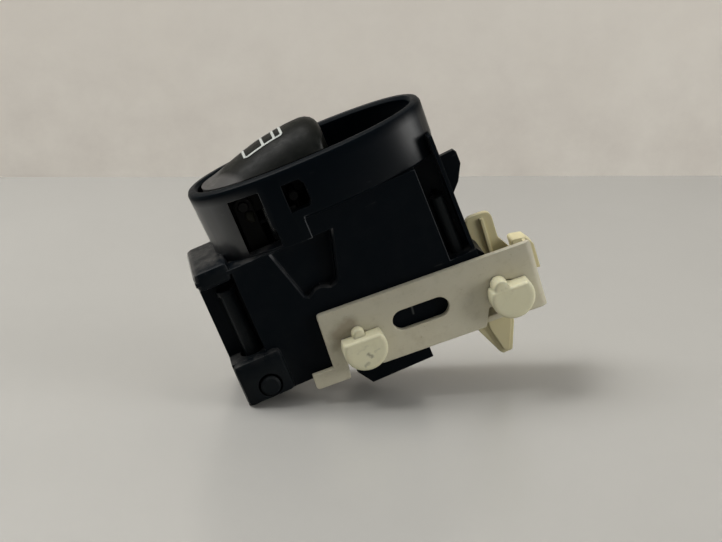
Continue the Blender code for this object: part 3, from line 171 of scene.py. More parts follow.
print("helpers ready")

# %% [markdown]
# ## The grain of moulded plastic
# A mould is spark-eroded or blasted, so its plastic has a fine grain, and over a few
# millimetres the wall sinks and swells a little as it cools. Both are heights, so one group gives
# a single height for a Bump node, and a small change of roughness that follows the grain.
#
# Grain could be real geometry, but it is a tenth of a millimetre across, so noise on the object's
# own coordinates does the same work at no cost and never slides when the rocker moves.

# %% Moulded grain
def make_grain():
    tree, start, end = new_group(
        "moulded_grain",
        {"Grain Size": ("Float", 0.0002), "Depth": ("Float", 1.0)},
        {"Height": "Float", "Roughness Shift": "Float"},
    )
    where = add_node(tree, "ShaderNodeTexCoord").outputs["Object"]
    scale = math_node(tree, "DIVIDE", 1.0, start.outputs["Grain Size"])
    fine = add_node(tree, "ShaderNodeTexNoise", Vector=where, Scale=scale, Detail=3.0, Roughness=0.6)
    slow = add_node(tree, "ShaderNodeTexNoise", Vector=where, Scale=140.0, Detail=1.0, Roughness=0.4)
    middle = add_node(tree, "ShaderNodeTexNoise", Vector=where, Scale=900.0, Detail=2.0, Roughness=0.5)
    grain = math_node(tree, "MULTIPLY", fine.outputs[0], 0.35)
    swell = math_node(tree, "MULTIPLY_ADD", slow.outputs[0], 1.6, grain)
    deep = math_node(tree, "MULTIPLY", swell, start.outputs["Depth"])
    tree.links.new(deep, end.inputs["Height"])
    tree.links.new(ramp(tree, middle.outputs[0], 0.35, 0.65, -0.05, 0.05), end.inputs["Roughness Shift"])
    return tree


GRAIN = make_grain()
print("group", GRAIN.name, "with", len(GRAIN.nodes), "nodes")

# %% [markdown]
# ## Rounded edges that catch the light
# No moulded edge is perfectly sharp, and most of what draws this black block in the photograph is
# the thin pale line along its edges. The Bevel shader node rounds the normal near each edge without
# new geometry, so the line is smooth. The same node tells where the edges are: there the rounded
# normal and the true one disagree. That difference is a mask, used below to paint the edges paler:
# partly wear, because hands and tools polish the edges first, and partly a painted highlight where
# the edges catch the light.

# %% Edge rounding and edge mask
def make_edges():
    tree, start, end = new_group(
        "rounded_edges",
        {"Radius": ("Float", 0.0004)},
        {"Normal": "Vector", "Edge": "Float"},
    )
    rounded = add_node(tree, "ShaderNodeBevel", {"samples": 6}, Radius=start.outputs["Radius"])
    flat = add_node(tree, "ShaderNodeNewGeometry")
    match = add_node(tree, "ShaderNodeVectorMath", {"operation": "DOT_PRODUCT"},
                     _0=rounded.outputs[0], _1=flat.outputs["Normal"])
    tree.links.new(rounded.outputs[0], end.inputs["Normal"])
    tree.links.new(ramp(tree, match.outputs["Value"], 0.995, 0.86), end.inputs["Edge"])
    return tree


EDGES = make_edges()
print("group", EDGES.name, "with", len(EDGES.nodes), "nodes")

# %% [markdown]
# ## Dust, scuffs and soiling, with painted sheen and painted shade
# This is a used part from a door. Dust lies on what faced up while the part stood on the table, and
# the same pale mask on the faces turned up is also a painted sheen, where top faces catch the light.
# Fine scuffs run over the flat faces, and grime sits in patches. On the nylon, ambient occlusion
# darkens the corners as painted shade, laid in with the grime. The other masks lie between 0 and 1
# and are made of noise. Noise is pushed through a narrow range to make specks, and stretched along
# one axis to make scratches.

# %% Dust with painted sheen, and soiling with painted shade
TABLE_UP = Vector((0.361, 0.0, 0.932)).normalized()


def make_dust_and_sheen():
    tree, start, end = new_group(
        "dust_sheen_and_scuffs",
        {"Dust": ("Float", 0.5), "Scuffs": ("Float", 0.5), "Highest": ("Float", 1.0)},
        {"Dust And Sheen Mask": "Float", "Scuff Mask": "Float"},
    )
    where = add_node(tree, "ShaderNodeTexCoord").outputs["Object"]
    height = add_node(tree, "ShaderNodeSeparateXYZ", Vector=where).outputs["Z"]
    below = math_node(tree, "SUBTRACT", start.outputs["Highest"], height)
    faces = add_node(tree, "ShaderNodeNewGeometry").outputs["Normal"]
    facing = add_node(tree, "ShaderNodeVectorMath", {"operation": "DOT_PRODUCT"}, _0=faces, _1=TABLE_UP)
    # Faces turned up get dust, and with it a painted sheen where they catch the light.
    upward = ramp(tree, facing.outputs["Value"], 0.1, 0.9, 0.03, 1.0)
    patches = add_node(tree, "ShaderNodeTexNoise", Vector=where, Scale=260.0, Detail=4.0, Roughness=0.6)
    specks = add_node(tree, "ShaderNodeTexNoise", Vector=where, Scale=2600.0, Detail=2.0, Roughness=0.5)
    veil = ramp(tree, patches.outputs[0], 0.42, 0.75)
    points = ramp(tree, specks.outputs[0], 0.66, 0.74)
    both = math_node(tree, "MULTIPLY_ADD", points, 0.8, math_node(tree, "MULTIPLY", veil, 0.45))
    on_faces_turned_up = math_node(tree, "MULTIPLY", upward, ramp(tree, below, 0.0, 0.004))
    dust = math_node(tree, "MULTIPLY", math_node(tree, "MULTIPLY", both, on_faces_turned_up), start.outputs["Dust"], clamp=True)
    tree.links.new(dust, end.inputs["Dust And Sheen Mask"])
    lengthened = add_node(tree, "ShaderNodeMapping", Vector=where,
                          Rotation=(0.3, 0.5, 0.9), Scale=(90.0, 1500.0, 1100.0))
    scratch = add_node(tree, "ShaderNodeTexNoise", Vector=lengthened.outputs[0], Scale=1.0, Detail=2.0, Roughness=0.5)
    lines = ramp(tree, scratch.outputs[0], 0.67, 0.73)
    where_rubbed = ramp(tree, patches.outputs[0], 0.5, 0.62)
    rubbed = math_node(tree, "MULTIPLY", lines, where_rubbed)
    scuff = math_node(tree, "MULTIPLY", rubbed, start.outputs["Scuffs"], clamp=True)
    tree.links.new(scuff, end.inputs["Scuff Mask"])
    return tree


DUST_AND_SHEEN = make_dust_and_sheen()
print("group", DUST_AND_SHEEN.name, "with", len(DUST_AND_SHEEN.nodes), "nodes")


def make_soiling_and_shade():
    tree, start, end = new_group(
        "nylon_soiling_and_shade",
        {
            "Clean": ("Color", (0.4, 0.38, 0.28, 1.0)),
            "Soiled": ("Color", (0.2, 0.17, 0.09, 1.0)),
            "Amount": ("Float", 0.5),
        },
        {"Color": "Color", "Soil": "Float"},
    )
    where = add_node(tree, "ShaderNodeTexCoord").outputs["Object"]
    cloud = add_node(tree, "ShaderNodeTexNoise", Vector=where, Scale=85.0, Detail=3.0, Roughness=0.55)
    smudge = add_node(tree, "ShaderNodeTexNoise", Vector=where, Scale=420.0, Detail=4.0, Roughness=0.65)
    fleck = add_node(tree, "ShaderNodeTexNoise", Vector=where, Scale=1900.0, Detail=2.0, Roughness=0.5)
    wide = ramp(tree, cloud.outputs[0], 0.38, 0.72, 0.0, 0.5)
    small = ramp(tree, smudge.outputs[0], 0.52, 0.74, 0.0, 0.5)
    fine = ramp(tree, fleck.outputs[0], 0.68, 0.76, 0.0, 0.8)
    # Ambient occlusion darkens the corners: painted shade, added to the soil mask.
    corners = add_node(tree, "ShaderNodeAmbientOcclusion", {"samples": 6, "only_local": False}, Distance=0.003)
    corner_shade = ramp(tree, corners.outputs["AO"], 0.75, 0.25, 0.0, 0.6)
    total = math_node(tree, "ADD", math_node(tree, "ADD", wide, small), math_node(tree, "ADD", fine, corner_shade))
    soil_and_shade = math_node(tree, "MULTIPLY", total, start.outputs["Amount"], clamp=True)
    tree.links.new(blend_colour(tree, soil_and_shade, start.outputs["Clean"], start.outputs["Soiled"]), end.inputs["Color"])
    tree.links.new(soil_and_shade, end.inputs["Soil"])
    return tree


SOILING_AND_SHADE = make_soiling_and_shade()
print("group", SOILING_AND_SHADE.name, "with", len(SOILING_AND_SHADE.nodes), "nodes")

# %% [markdown]
# ## Marks that have their own place
# Some marks are no accident of noise. Certain edges of the housing carry painted glints, pale lines
# where they catch the light, and a thin arc seen through a slot is a painted gleam. The foot and the
# posts are painted a lighter grey, the left stud has small nicks in its face, and the plate has brown
# marks below its corner. Each is given as a line between two points in the CAD frame with a reach
# around it, and the coordinates are pushed about a little by noise, so that no mark has a drawn outline.

# %% Marks along lines
def near_line(tree, where, first, last, reach):
    """A mask that is 1 on the line between two points and falls to 0 at a distance."""
    along = Vector(last) - Vector(first)
    offset = add_node(tree, "ShaderNodeVectorMath", {"operation": "SUBTRACT"}, _0=where, _1=first).outputs[0]
    product = add_node(tree, "ShaderNodeVectorMath", {"operation": "DOT_PRODUCT"}, _0=offset, _1=along)
    share = math_node(tree, "DIVIDE", product.outputs["Value"], along.length_squared, clamp=True)
    nearest = add_node(tree, "ShaderNodeVectorMath", {"operation": "SCALE"}, _0=along, Scale=share).outputs[0]
    gap = add_node(tree, "ShaderNodeVectorMath", {"operation": "DISTANCE"}, _0=offset, _1=nearest)
    return ramp(tree, gap.outputs["Value"], reach, reach * 0.3)


def make_marks(name, lines, wander):
    """A group whose mask is the union of lines, each (first, last, reach, strength) in millimetres."""
    tree, start, end = new_group(name, {}, {"Mask": "Float"})
    where = add_node(tree, "ShaderNodeTexCoord").outputs["Object"]
    noise = add_node(tree, "ShaderNodeTexNoise", Vector=where, Scale=900.0, Detail=3.0, Roughness=0.6)
    centred = add_node(tree, "ShaderNodeVectorMath", {"operation": "SUBTRACT"},
                       _0=noise.outputs["Color"], _1=(0.5, 0.5, 0.5))
    pushed = add_node(tree, "ShaderNodeVectorMath", {"operation": "MULTIPLY_ADD"}, _0=centred.outputs[0],
                      _1=(wander, wander, wander), _2=where).outputs[0]
    union = 0.0
    for first, last, reach, strength in lines:
        ends = [tuple(value / 1000 for value in point) for point in (first, last)]
        mark = math_node(tree, "MULTIPLY", near_line(tree, pushed, ends[0], ends[1], reach / 1000), strength)
        union = math_node(tree, "MAXIMUM", mark, union)
    tree.links.new(union, end.inputs["Mask"])
    return tree


# Painted glints: pale lines on certain edges of the housing, where they catch the light.
PAINTED_GLINTS = make_marks("painted_edge_glints", [
    ((-13.1, -11.5, -3.4), (-13.0, -11.5, -10.3), 1.0, 1.0),
    ((-6.0, -11.5, -12.0), (-6.4, -11.5, -17.2), 1.2, 0.6),
    ((-15.8, -10.5, -17.5), (-12.7, -10.5, -26.3), 1.2, 0.25),
    ((-1.1, -10.5, -19.5), (-2.6, -10.5, -28.0), 1.2, 0.16),
    ((-20.0, -11.5, -12.0), (-20.1, -11.5, -13.8), 0.9, 0.7),
    ((-25.4, -10.5, -16.6), (-20.2, -10.5, -16.5), 1.0, 0.22),
    ((-33.5, -10.5, -14.7), (-25.9, -10.5, -15.2), 1.0, 0.20),
    ((20.0, -10.5, -11.8), (20.1, -10.5, -35.2), 1.0, 0.26),
    ((25.7, -10.5, -6.0), (25.7, -10.5, -31.0), 1.0, 0.18),
], 0.0005)
# A painted gleam: a thin pale arc on the housing, seen through a slot.
GLEAMS = make_marks("gleams", [
    ((7.5, -10.5, -40.5), (8.2, -10.5, -41.6), 0.30, 0.35),
    ((8.2, -10.5, -41.6), (8.0, -10.5, -43.2), 0.30, 0.25),
], 0.0)
FOOT_AND_POST_LIGHTER = make_marks("foot_and_post_lighter", [
    ((-31.0, -11.5, -44.0), (-25.0, -11.5, -43.5), 6.0, 0.75),
    ((-30.5, -8.5, -22.0), (-28.5, -8.5, -36.0), 3.5, 0.8),
    ((22.6, -7.6, -22.0), (22.6, -7.6, -34.0), 2.2, 1.0),
    ((-30.0, -10.5, -17.5), (-26.0, -10.5, -17.5), 3.0, 0.4),
], 0.002)
STUD_NICKS = make_marks("stud_nicks", [
    ((-4.9, -16.9, -45.2), (-4.3, -16.9, -46.1), 0.55, 0.55),
    ((-6.5, -16.9, -47.5), (-5.6, -16.9, -47.1), 0.50, 0.40),
    ((-7.2, -16.9, -44.1), (-4.3, -16.9, -43.3), 0.30, 0.12),
    ((-3.4, -16.9, -45.38), (-2.2, -16.9, -45.0), 0.30, 0.15),
    ((-7.5, -14.5, -48.6), (-3.0, -14.5, -50.0), 1.3, 0.35),
], 0.0011)
PLATE_BROWN_MARKS = make_marks("plate_brown_marks", [
    ((-9.65, -12.4, -40.08), (-6.0, -12.4, -38.6), 2.4, 0.50),
    ((-11.0, -12.4, -42.5), (-9.0, -12.4, -40.6), 1.5, 0.35),
    ((-12.6, -12.4, -51.5), (-8.5, -12.4, -50.5), 0.8, 0.4),
], 0.0012)
print("marks:", [group.name for group in (PAINTED_GLINTS, GLEAMS, FOOT_AND_POST_LIGHTER, STUD_NICKS, PLATE_BROWN_MARKS)])

# %% [markdown]
# ## The black and grey plastics
# The housing is a filled black plastic with a slight sheen: nearly black in itself, so what the
# eye sees is mostly its reflection of the pale room. The rocker is a shade lighter and softer, as
# switch caps are painted or moulded in dark grey. The lever, frame and plungers under it are
# a slippery dark nylon.
#
# One function makes all three, because they differ only in numbers: colour, roughness, how deep the
# grain is and how much dust, wear and painted sheen they carry. What only one of them has is laid over
# it by a mask of its own: the gloss on the collar's ends, the painted glints on certain edges, the
# painted gleam seen through a slot, the lighter grey on the foot and posts, and the painted sheen on
# the lip at the rocker's low end.

# %% Dark plastics
EDGE_RADIUS = 0.00035


def use_group(tree, group, **inputs):
    """A node group placed in a material, with its inputs set or linked."""
    return add_node(tree, "ShaderNodeGroup", {"node_tree": group}, **inputs)


def new_material(name):
    """A material with its node tree and its Principled shader."""
    material = bpy.data.materials.new(name)
    material.use_nodes = True
    return material, material.node_tree, material.node_tree.nodes["Principled BSDF"]


def dark_plastic(name, colour, worn_and_highlit, roughness, shine, grain_size, dust, highest=1.0):
    material, tree, shader = new_material(name)
    grain = use_group(tree, GRAIN, Grain_Size=grain_size, Depth=1.0)
    edges = use_group(tree, EDGES, Radius=EDGE_RADIUS)
    dirt_and_painted_light = use_group(tree, DUST_AND_SHEEN, Dust=dust, Scuffs=0.5, Highest=highest)
    # The edges are painted paler: partly wear, partly a painted highlight where they catch the light.
    rubbed = math_node(tree, "MULTIPLY", edges.outputs["Edge"], 0.5)
    base = blend_colour(tree, rubbed, colour + (1.0,), worn_and_highlit + (1.0,))
    scuffed = blend_colour(tree, dirt_and_painted_light.outputs["Scuff Mask"], base, (0.03, 0.03, 0.03, 1.0))
    # Faces turned up are painted paler: partly dust, partly a painted sheen where they catch the light.
    dusty_and_sheened = blend_colour(tree, dirt_and_painted_light.outputs["Dust And Sheen Mask"], scuffed, (0.20, 0.19, 0.175, 1.0))
    tree.links.new(dusty_and_sheened, shader.inputs["Base Color"])
    matt = math_node(tree, "MULTIPLY_ADD", dirt_and_painted_light.outputs["Dust And Sheen Mask"], 0.35, roughness)
    shifted = math_node(tree, "ADD", matt, grain.outputs["Roughness Shift"])
    tree.links.new(math_node(tree, "MULTIPLY_ADD", rubbed, -0.12, shifted), shader.inputs["Roughness"])
    bump = add_node(tree, "ShaderNodeBump", Strength=0.5, Distance=0.00006, Height=grain.outputs["Height"],
                    Normal=edges.outputs["Normal"])
    tree.links.new(bump.outputs[0], shader.inputs["Normal"])
    shader.inputs["Specular IOR Level"].default_value = shine
    return material


def lay_over(material, mask_maker, colour):
    """Blends a colour over a finished material's base colour, where a mask says so."""
    tree = material.node_tree
    base = tree.nodes["Principled BSDF"].inputs["Base Color"]
    under = base.links[0].from_socket
    tree.links.new(blend_colour(tree, mask_maker(tree), under, colour + (1.0,)), base)


def painted_glint_mask(tree):
    edges = use_group(tree, EDGES, Radius=EDGE_RADIUS)
    return math_node(tree, "MULTIPLY", edges.outputs["Edge"], use_group(tree, PAINTED_GLINTS).outputs["Mask"])


def gloss_on_ends(tree):
    """Where faces look sideways below the rim, hands have polished the collar's ends."""
    where = add_node(tree, "ShaderNodeSeparateXYZ", Vector=add_node(tree, "ShaderNodeTexCoord").outputs["Object"])
    faces = add_node(tree, "ShaderNodeSeparateXYZ", Vector=add_node(tree, "ShaderNodeNewGeometry").outputs["Normal"])
    left_end = ramp(tree, faces.outputs["X"], -0.15, -0.6)
    sideways = math_node(tree, "MAXIMUM", left_end, ramp(tree, faces.outputs["X"], 0.0, 0.7, 0.0, 0.28))
    on_collar = math_node(tree, "MULTIPLY", ramp(tree, where.outputs["Z"], -0.001, -0.003),
                          ramp(tree, where.outputs["Z"], -0.019, -0.015))
    return math_node(tree, "MULTIPLY", sideways, on_collar, clamp=True)


def lip_sheen_mask(tree):
    """The flat lip at the rocker's low end, bounded by a crease that bends round the middle; it is painted paler as
    the sheen of its flat top.
    """
    where = add_node(tree, "ShaderNodeTexCoord").outputs["Object"]
    parts = add_node(tree, "ShaderNodeSeparateXYZ", Vector=where)
    bent = math_node(tree, "MULTIPLY_ADD", math_node(tree, "ABSOLUTE", parts.outputs["Y"]), -0.6, parts.outputs["X"])
    return ramp(tree, bent, -0.0190, -0.0206)


# The second colour is the paler edge colour: wear and a painted highlight.
BLACK_PLASTIC = dark_plastic("black_plastic", (0.0018, 0.0034, 0.0052), (0.018, 0.021, 0.024),
                             0.36, 0.05, 0.00016, 0.60, -0.012)
black_shader = BLACK_PLASTIC.node_tree.nodes["Principled BSDF"]
BLACK_PLASTIC.node_tree.links.new(gloss_on_ends(BLACK_PLASTIC.node_tree), black_shader.inputs["Coat Weight"])
black_shader.inputs["Coat Roughness"].default_value = 0.32
black_shader.inputs["Coat IOR"].default_value = 1.9
lay_over(BLACK_PLASTIC, lambda tree: use_group(tree, FOOT_AND_POST_LIGHTER).outputs["Mask"], (0.0105, 0.0125, 0.0135))
# Painted glints along certain edges.
lay_over(BLACK_PLASTIC, painted_glint_mask, (0.22, 0.23, 0.24))
# The painted gleam seen through the slot.
lay_over(BLACK_PLASTIC, lambda tree: use_group(tree, GLEAMS).outputs["Mask"], (0.20, 0.21, 0.20))
ROCKER_GREY = dark_plastic("rocker_grey", (0.0036, 0.0043, 0.0035), (0.012, 0.013, 0.011),
                           0.42, 0.06, 0.00012, 0.10)
# A painted sheen on the rocker's lip, where its flat top catches the light.
lay_over(ROCKER_GREY, lip_sheen_mask, (0.060, 0.058, 0.056))
DARK_NYLON = dark_plastic("dark_nylon", (0.0018, 0.0018, 0.0018), (0.006, 0.006, 0.006),
                          0.38, 0.06, 0.0003, 0.05)
print("dark plastics:", BLACK_PLASTIC.name, ROCKER_GREY.name, DARK_NYLON.name)

# %% [markdown]
# ## The cream nylon
# The bracket is natural nylon, which is a warm ivory and yellows with age, and its studs are a
# little paler. Nylon lets some light into it, so a small share of subsurface scattering softens its
# shadows. The corners and the foot of the studs are darkened by ambient occlusion, painted shade laid
# in with the grime, and the edges are painted paler as a highlight. Behind the plate the nylon is
# yellower, and towards the plate's top edge it is painted darker, as shade under the housing.

# %% Cream nylons
def cream_nylon(name, clean, soiled, amount, glow, rounding):
    material, tree, shader = new_material(name)
    grain = use_group(tree, GRAIN, Grain_Size=0.00025, Depth=1.0)
    edges = use_group(tree, EDGES, Radius=rounding)
    dirt_and_painted_light = use_group(tree, SOILING_AND_SHADE, Clean=clean + (1.0,), Soiled=soiled + (1.0,), Amount=amount)
    # The edges are painted paler: a painted highlight where they catch the light.
    painted_edge_highlight = blend_colour(tree, math_node(tree, "MULTIPLY", edges.outputs["Edge"], 0.25), dirt_and_painted_light.outputs["Color"],
                         tuple(min(1.0, 1.35 * value) for value in clean) + (1.0,))
    tree.links.new(painted_edge_highlight, shader.inputs["Base Color"])
    rough = math_node(tree, "MULTIPLY_ADD", dirt_and_painted_light.outputs["Soil"], 0.2, 0.42)
    tree.links.new(math_node(tree, "ADD", rough, grain.outputs["Roughness Shift"]), shader.inputs["Roughness"])
    bump = add_node(tree, "ShaderNodeBump", Strength=0.5, Distance=0.00006, Height=grain.outputs["Height"],
                    Normal=edges.outputs["Normal"])
    tree.links.new(bump.outputs[0], shader.inputs["Normal"])
    shader.inputs["Subsurface Weight"].default_value = glow
    shader.inputs["Subsurface Radius"].default_value = (0.0012, 0.0009, 0.0005)
    shader.inputs["Subsurface Scale"].default_value = 1.0
    return material


def behind_plate(tree):
    """The bent end, the blade and the tail lie behind the plate, and have yellowed more."""
    where = add_node(tree, "ShaderNodeSeparateXYZ", Vector=add_node(tree, "ShaderNodeTexCoord").outputs["Object"])
    return ramp(tree, where.outputs["Y"], -0.0106, -0.0090, 0.0, 0.7)


def shade_at_plate_top(tree):
    """The plate is painted darker towards its top edge, where it lies close against the housing: painted shade."""
    where = add_node(tree, "ShaderNodeSeparateXYZ", Vector=add_node(tree, "ShaderNodeTexCoord").outputs["Object"])
    on_plate = ramp(tree, where.outputs["Y"], -0.0090, -0.0106)
    return math_node(tree, "MULTIPLY", on_plate, ramp(tree, where.outputs["Z"], -0.0490, -0.0370, 0.0, 0.45))


CREAM_NYLON = cream_nylon("cream_nylon", (0.60, 0.565, 0.435), (0.28, 0.225, 0.115), 0.42, 0.10, 0.0005)
lay_over(CREAM_NYLON, behind_plate, (0.64, 0.57, 0.31))
# Painted shade along the plate's top edge, under the housing.
lay_over(CREAM_NYLON, shade_at_plate_top, (0.30, 0.285, 0.23))
lay_over(CREAM_NYLON, lambda tree: use_group(tree, PLATE_BROWN_MARKS).outputs["Mask"], (0.13, 0.09, 0.045))
PALE_NYLON = cream_nylon("pale_nylon", (0.71, 0.68, 0.475), (0.20, 0.15, 0.07), 0.24, 0.12, 0.0014)
lay_over(PALE_NYLON, lambda tree: use_group(tree, STUD_NICKS).outputs["Mask"], (0.05, 0.045, 0.03))
print("nylons:", CREAM_NYLON.name, PALE_NYLON.name)

# %% [markdown]
# ## Metals, board and lamp
# The working parts sit deep in the housing and show only through the windows and the socket, yet
# the model can be taken apart. The terminals and contacts are brass, the springs and the pivot pin
# are steel, and a small green board carries an amber lamp under a clear light guide.

# %% Inner finishes
def fine_finish(name, colour, other, roughness, metallic, scale, along):
    """A finish whose colour wanders between two tones, with lines drawn out along one axis."""
    material, tree, shader = new_material(name)
    where = add_node(tree, "ShaderNodeTexCoord").outputs["Object"]
    drawn = add_node(tree, "ShaderNodeMapping", Vector=where, Scale=along)
    marks = add_node(tree, "ShaderNodeTexNoise", Vector=drawn.outputs[0], Scale=scale, Detail=3.0, Roughness=0.6)
    mask = ramp(tree, marks.outputs[0], 0.35, 0.68)
    tree.links.new(blend_colour(tree, mask, colour + (1.0,), other + (1.0,)), shader.inputs["Base Color"])
    tree.links.new(ramp(tree, marks.outputs[0], 0.3, 0.7, roughness - 0.08, roughness + 0.08), shader.inputs["Roughness"])
    edges = use_group(tree, EDGES, Radius=0.0002)
    bump = add_node(tree, "ShaderNodeBump", Strength=0.3, Distance=0.00003,
                    Height=marks.outputs[0], Normal=edges.outputs["Normal"])
    tree.links.new(bump.outputs[0], shader.inputs["Normal"])
    shader.inputs["Metallic"].default_value = metallic
    return material


BRASS = fine_finish("brass", (0.60, 0.42, 0.17), (0.42, 0.27, 0.10), 0.32, 1.0, 1200.0, (1.0, 1.0, 0.15))
STEEL = fine_finish("steel", (0.42, 0.42, 0.42), (0.28, 0.27, 0.26), 0.34, 1.0, 1500.0, (1.0, 0.2, 1.0))
BOARD = fine_finish("board_green", (0.02, 0.11, 0.05), (0.03, 0.17, 0.08), 0.45, 0.0, 300.0, (1.0, 1.0, 1.0))
LAMP = fine_finish("lamp_body", (0.62, 0.40, 0.12), (0.50, 0.30, 0.08), 0.30, 0.0, 500.0, (1.0, 1.0, 1.0))
GUIDE = fine_finish("light_guide_clear", (0.55, 0.57, 0.57), (0.48, 0.50, 0.50), 0.18, 0.0, 400.0, (1.0, 1.0, 0.3))
GUIDE.node_tree.nodes["Principled BSDF"].inputs["Transmission Weight"].default_value = 0.8
print("inner finishes:", [material.name for material in (BRASS, STEEL, BOARD, LAMP, GUIDE)])

# %% [markdown]
# ## Dressing the CAD nodes
# The CAD meshes arrive as loose triangles with flat shading, which would show facets on the
# collar and the studs. A small geometry node tree welds them and shades them smooth, but leaves each
# edge sharp where two faces meet at more than 30 degrees. It is a live modifier, so the CAD mesh
# stays as it was.

# %% Weld and smooth shading for CAD nodes
def make_smoothing(limit):
    tree = bpy.data.node_groups.new("weld_and_smooth", "GeometryNodeTree")
    tree.interface.new_socket("Geometry", in_out="INPUT", socket_type="NodeSocketGeometry")
    tree.interface.new_socket("Geometry", in_out="OUTPUT", socket_type="NodeSocketGeometry")
    start = tree.nodes.new("NodeGroupInput")
    end = tree.nodes.new("NodeGroupOutput")
    weld = add_node(tree, "GeometryNodeMergeByDistance", Geometry=start.outputs[0], Distance=0.000002)
    bend = add_node(tree, "GeometryNodeInputMeshEdgeAngle")
    corner = add_node(tree, "FunctionNodeCompare", {"data_type": "FLOAT", "operation": "GREATER_THAN"},
                      _0=bend.outputs["Unsigned Angle"], _1=limit)
    smooth = add_node(tree, "GeometryNodeSetShadeSmooth", {"domain": "FACE"},
                      Geometry=weld.outputs[0], Shade_Smooth=True)
    sharp = add_node(tree, "GeometryNodeSetShadeSmooth", {"domain": "EDGE"}, Geometry=smooth.outputs[0],
                     Selection=corner.outputs["Result"], Shade_Smooth=False)
    plain = add_node(tree, "GeometryNodeRemoveAttribute", Geometry=sharp.outputs[0], Name="custom_normal")
    tree.links.new(plain.outputs[0], end.inputs[0])
    return tree


SMOOTHING = make_smoothing(math.radians(30.0))
FINISHES = {
    "black_plastic": BLACK_PLASTIC, "rocker_grey": ROCKER_GREY, "dark_nylon": DARK_NYLON, "cream_nylon": CREAM_NYLON,
    "pale_nylon": PALE_NYLON, "brass": BRASS, "steel": STEEL, "board_green": BOARD, "lamp_body": LAMP,
    "light_guide_clear": GUIDE,
}


def dress(node):
    """Gives a CAD node the finish of its own slot, and smooth shading."""
    slot = node.data.materials[0].name.split(".")[0]
    node.material_slots[0].link = "OBJECT"
    node.material_slots[0].material = FINISHES[slot]
    shading = node.modifiers.new("weld_and_smooth", "NODES")
    shading.node_group = SMOOTHING
    return slot


for name, node in frame["nodes"].items():
    print(name, "is", dress(node))
# The pivot pin deep in the big window gets a near-black copy of steel, not metallic: painted shade.
SHADED_STEEL = fine_finish("shaded_steel", (0.007, 0.007, 0.0066), (0.004, 0.004, 0.0038),
                         0.5, 0.0, 1500.0, (1.0, 0.2, 1.0))
SHADED_STEEL.node_tree.nodes["Principled BSDF"].inputs["Specular IOR Level"].default_value = 0.1
frame["nodes"]["pivot_pin"].material_slots[0].material = SHADED_STEEL

# %% [markdown]
# ## The white window sign
# Every window switch carries the sign of a window, so that a hand finds it at a glance. Here it is
# a white outline with two bars across, printed over the crest of the rocker, and seen at a low
# angle it nearly closes up.
#
# It could be a mask in the rocker's material, but thin ink has its own edge and gloss, and as
# a mesh it keeps both at any distance. A plane is cut into three panes, each pane is inset, and
# the panes are deleted, which leaves only the lines. They are then laid on the rocker from above
# by a Shrinkwrap modifier.

# %% Helpers for modelling
def only(obj):
    """Deselects everything, then selects one object and makes it active."""
    for other in bpy.context.view_layer.objects:
        other.select_set(other is obj)
    bpy.context.view_layer.objects.active = obj


def added(name):
    """Names the primitive that was just added, and leaves it alone selected."""
    obj = bpy.context.active_object
    obj.name = name
    obj.data.name = name
    only(obj)
    return obj


def pick(obj, mode, test):
    """In edit mode, selects the vertices, edges or faces that pass a test on their bmesh element."""
    bpy.ops.mesh.select_mode(type=mode)
    bpy.ops.mesh.select_all(action="DESELECT")
    mesh = bmesh.from_edit_mesh(obj.data)
    kinds = {"VERT": mesh.verts, "EDGE": mesh.edges, "FACE": mesh.faces}
    for element in kinds[mode]:
        if test(element):
            element.select_set(True)
    mesh.select_flush_mode()
    bmesh.update_edit_mesh(obj.data)


def apply_modifier(obj, kind, **settings):
    """Adds a modifier with its settings and applies it."""
    only(obj)
    step = obj.modifiers.new(kind.lower(), kind)
    for label, value in settings.items():
        setattr(step, label, value)
    bpy.ops.object.modifier_apply(modifier=step.name)


def settle(obj):
    """Writes an object's place into its mesh, so that the object sits at the origin."""
    only(obj)
    bpy.ops.object.transform_apply(location=True, rotation=True, scale=True)


def clothe(obj, material, body):
    """Gives a new piece its finish and the body it rides on."""
    obj.data.materials.clear()
    obj.data.materials.append(material)
    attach(obj, body)
    print(obj.name, "has", len(obj.data.polygons), "faces and rides on", body)


# %% The sign's lines
LINE_WIDTH = 0.00062
SIGN_LEFT, SIGN_RIGHT = -0.0125, -0.0038
SIGN_HALF_DEPTH = 0.0028
BAR_PLACES = (-0.0081, -0.0053)
INK_THICKNESS = 0.00003
SIGN_HEIGHT = 0.02
SIGN_CORNER = 0.0003


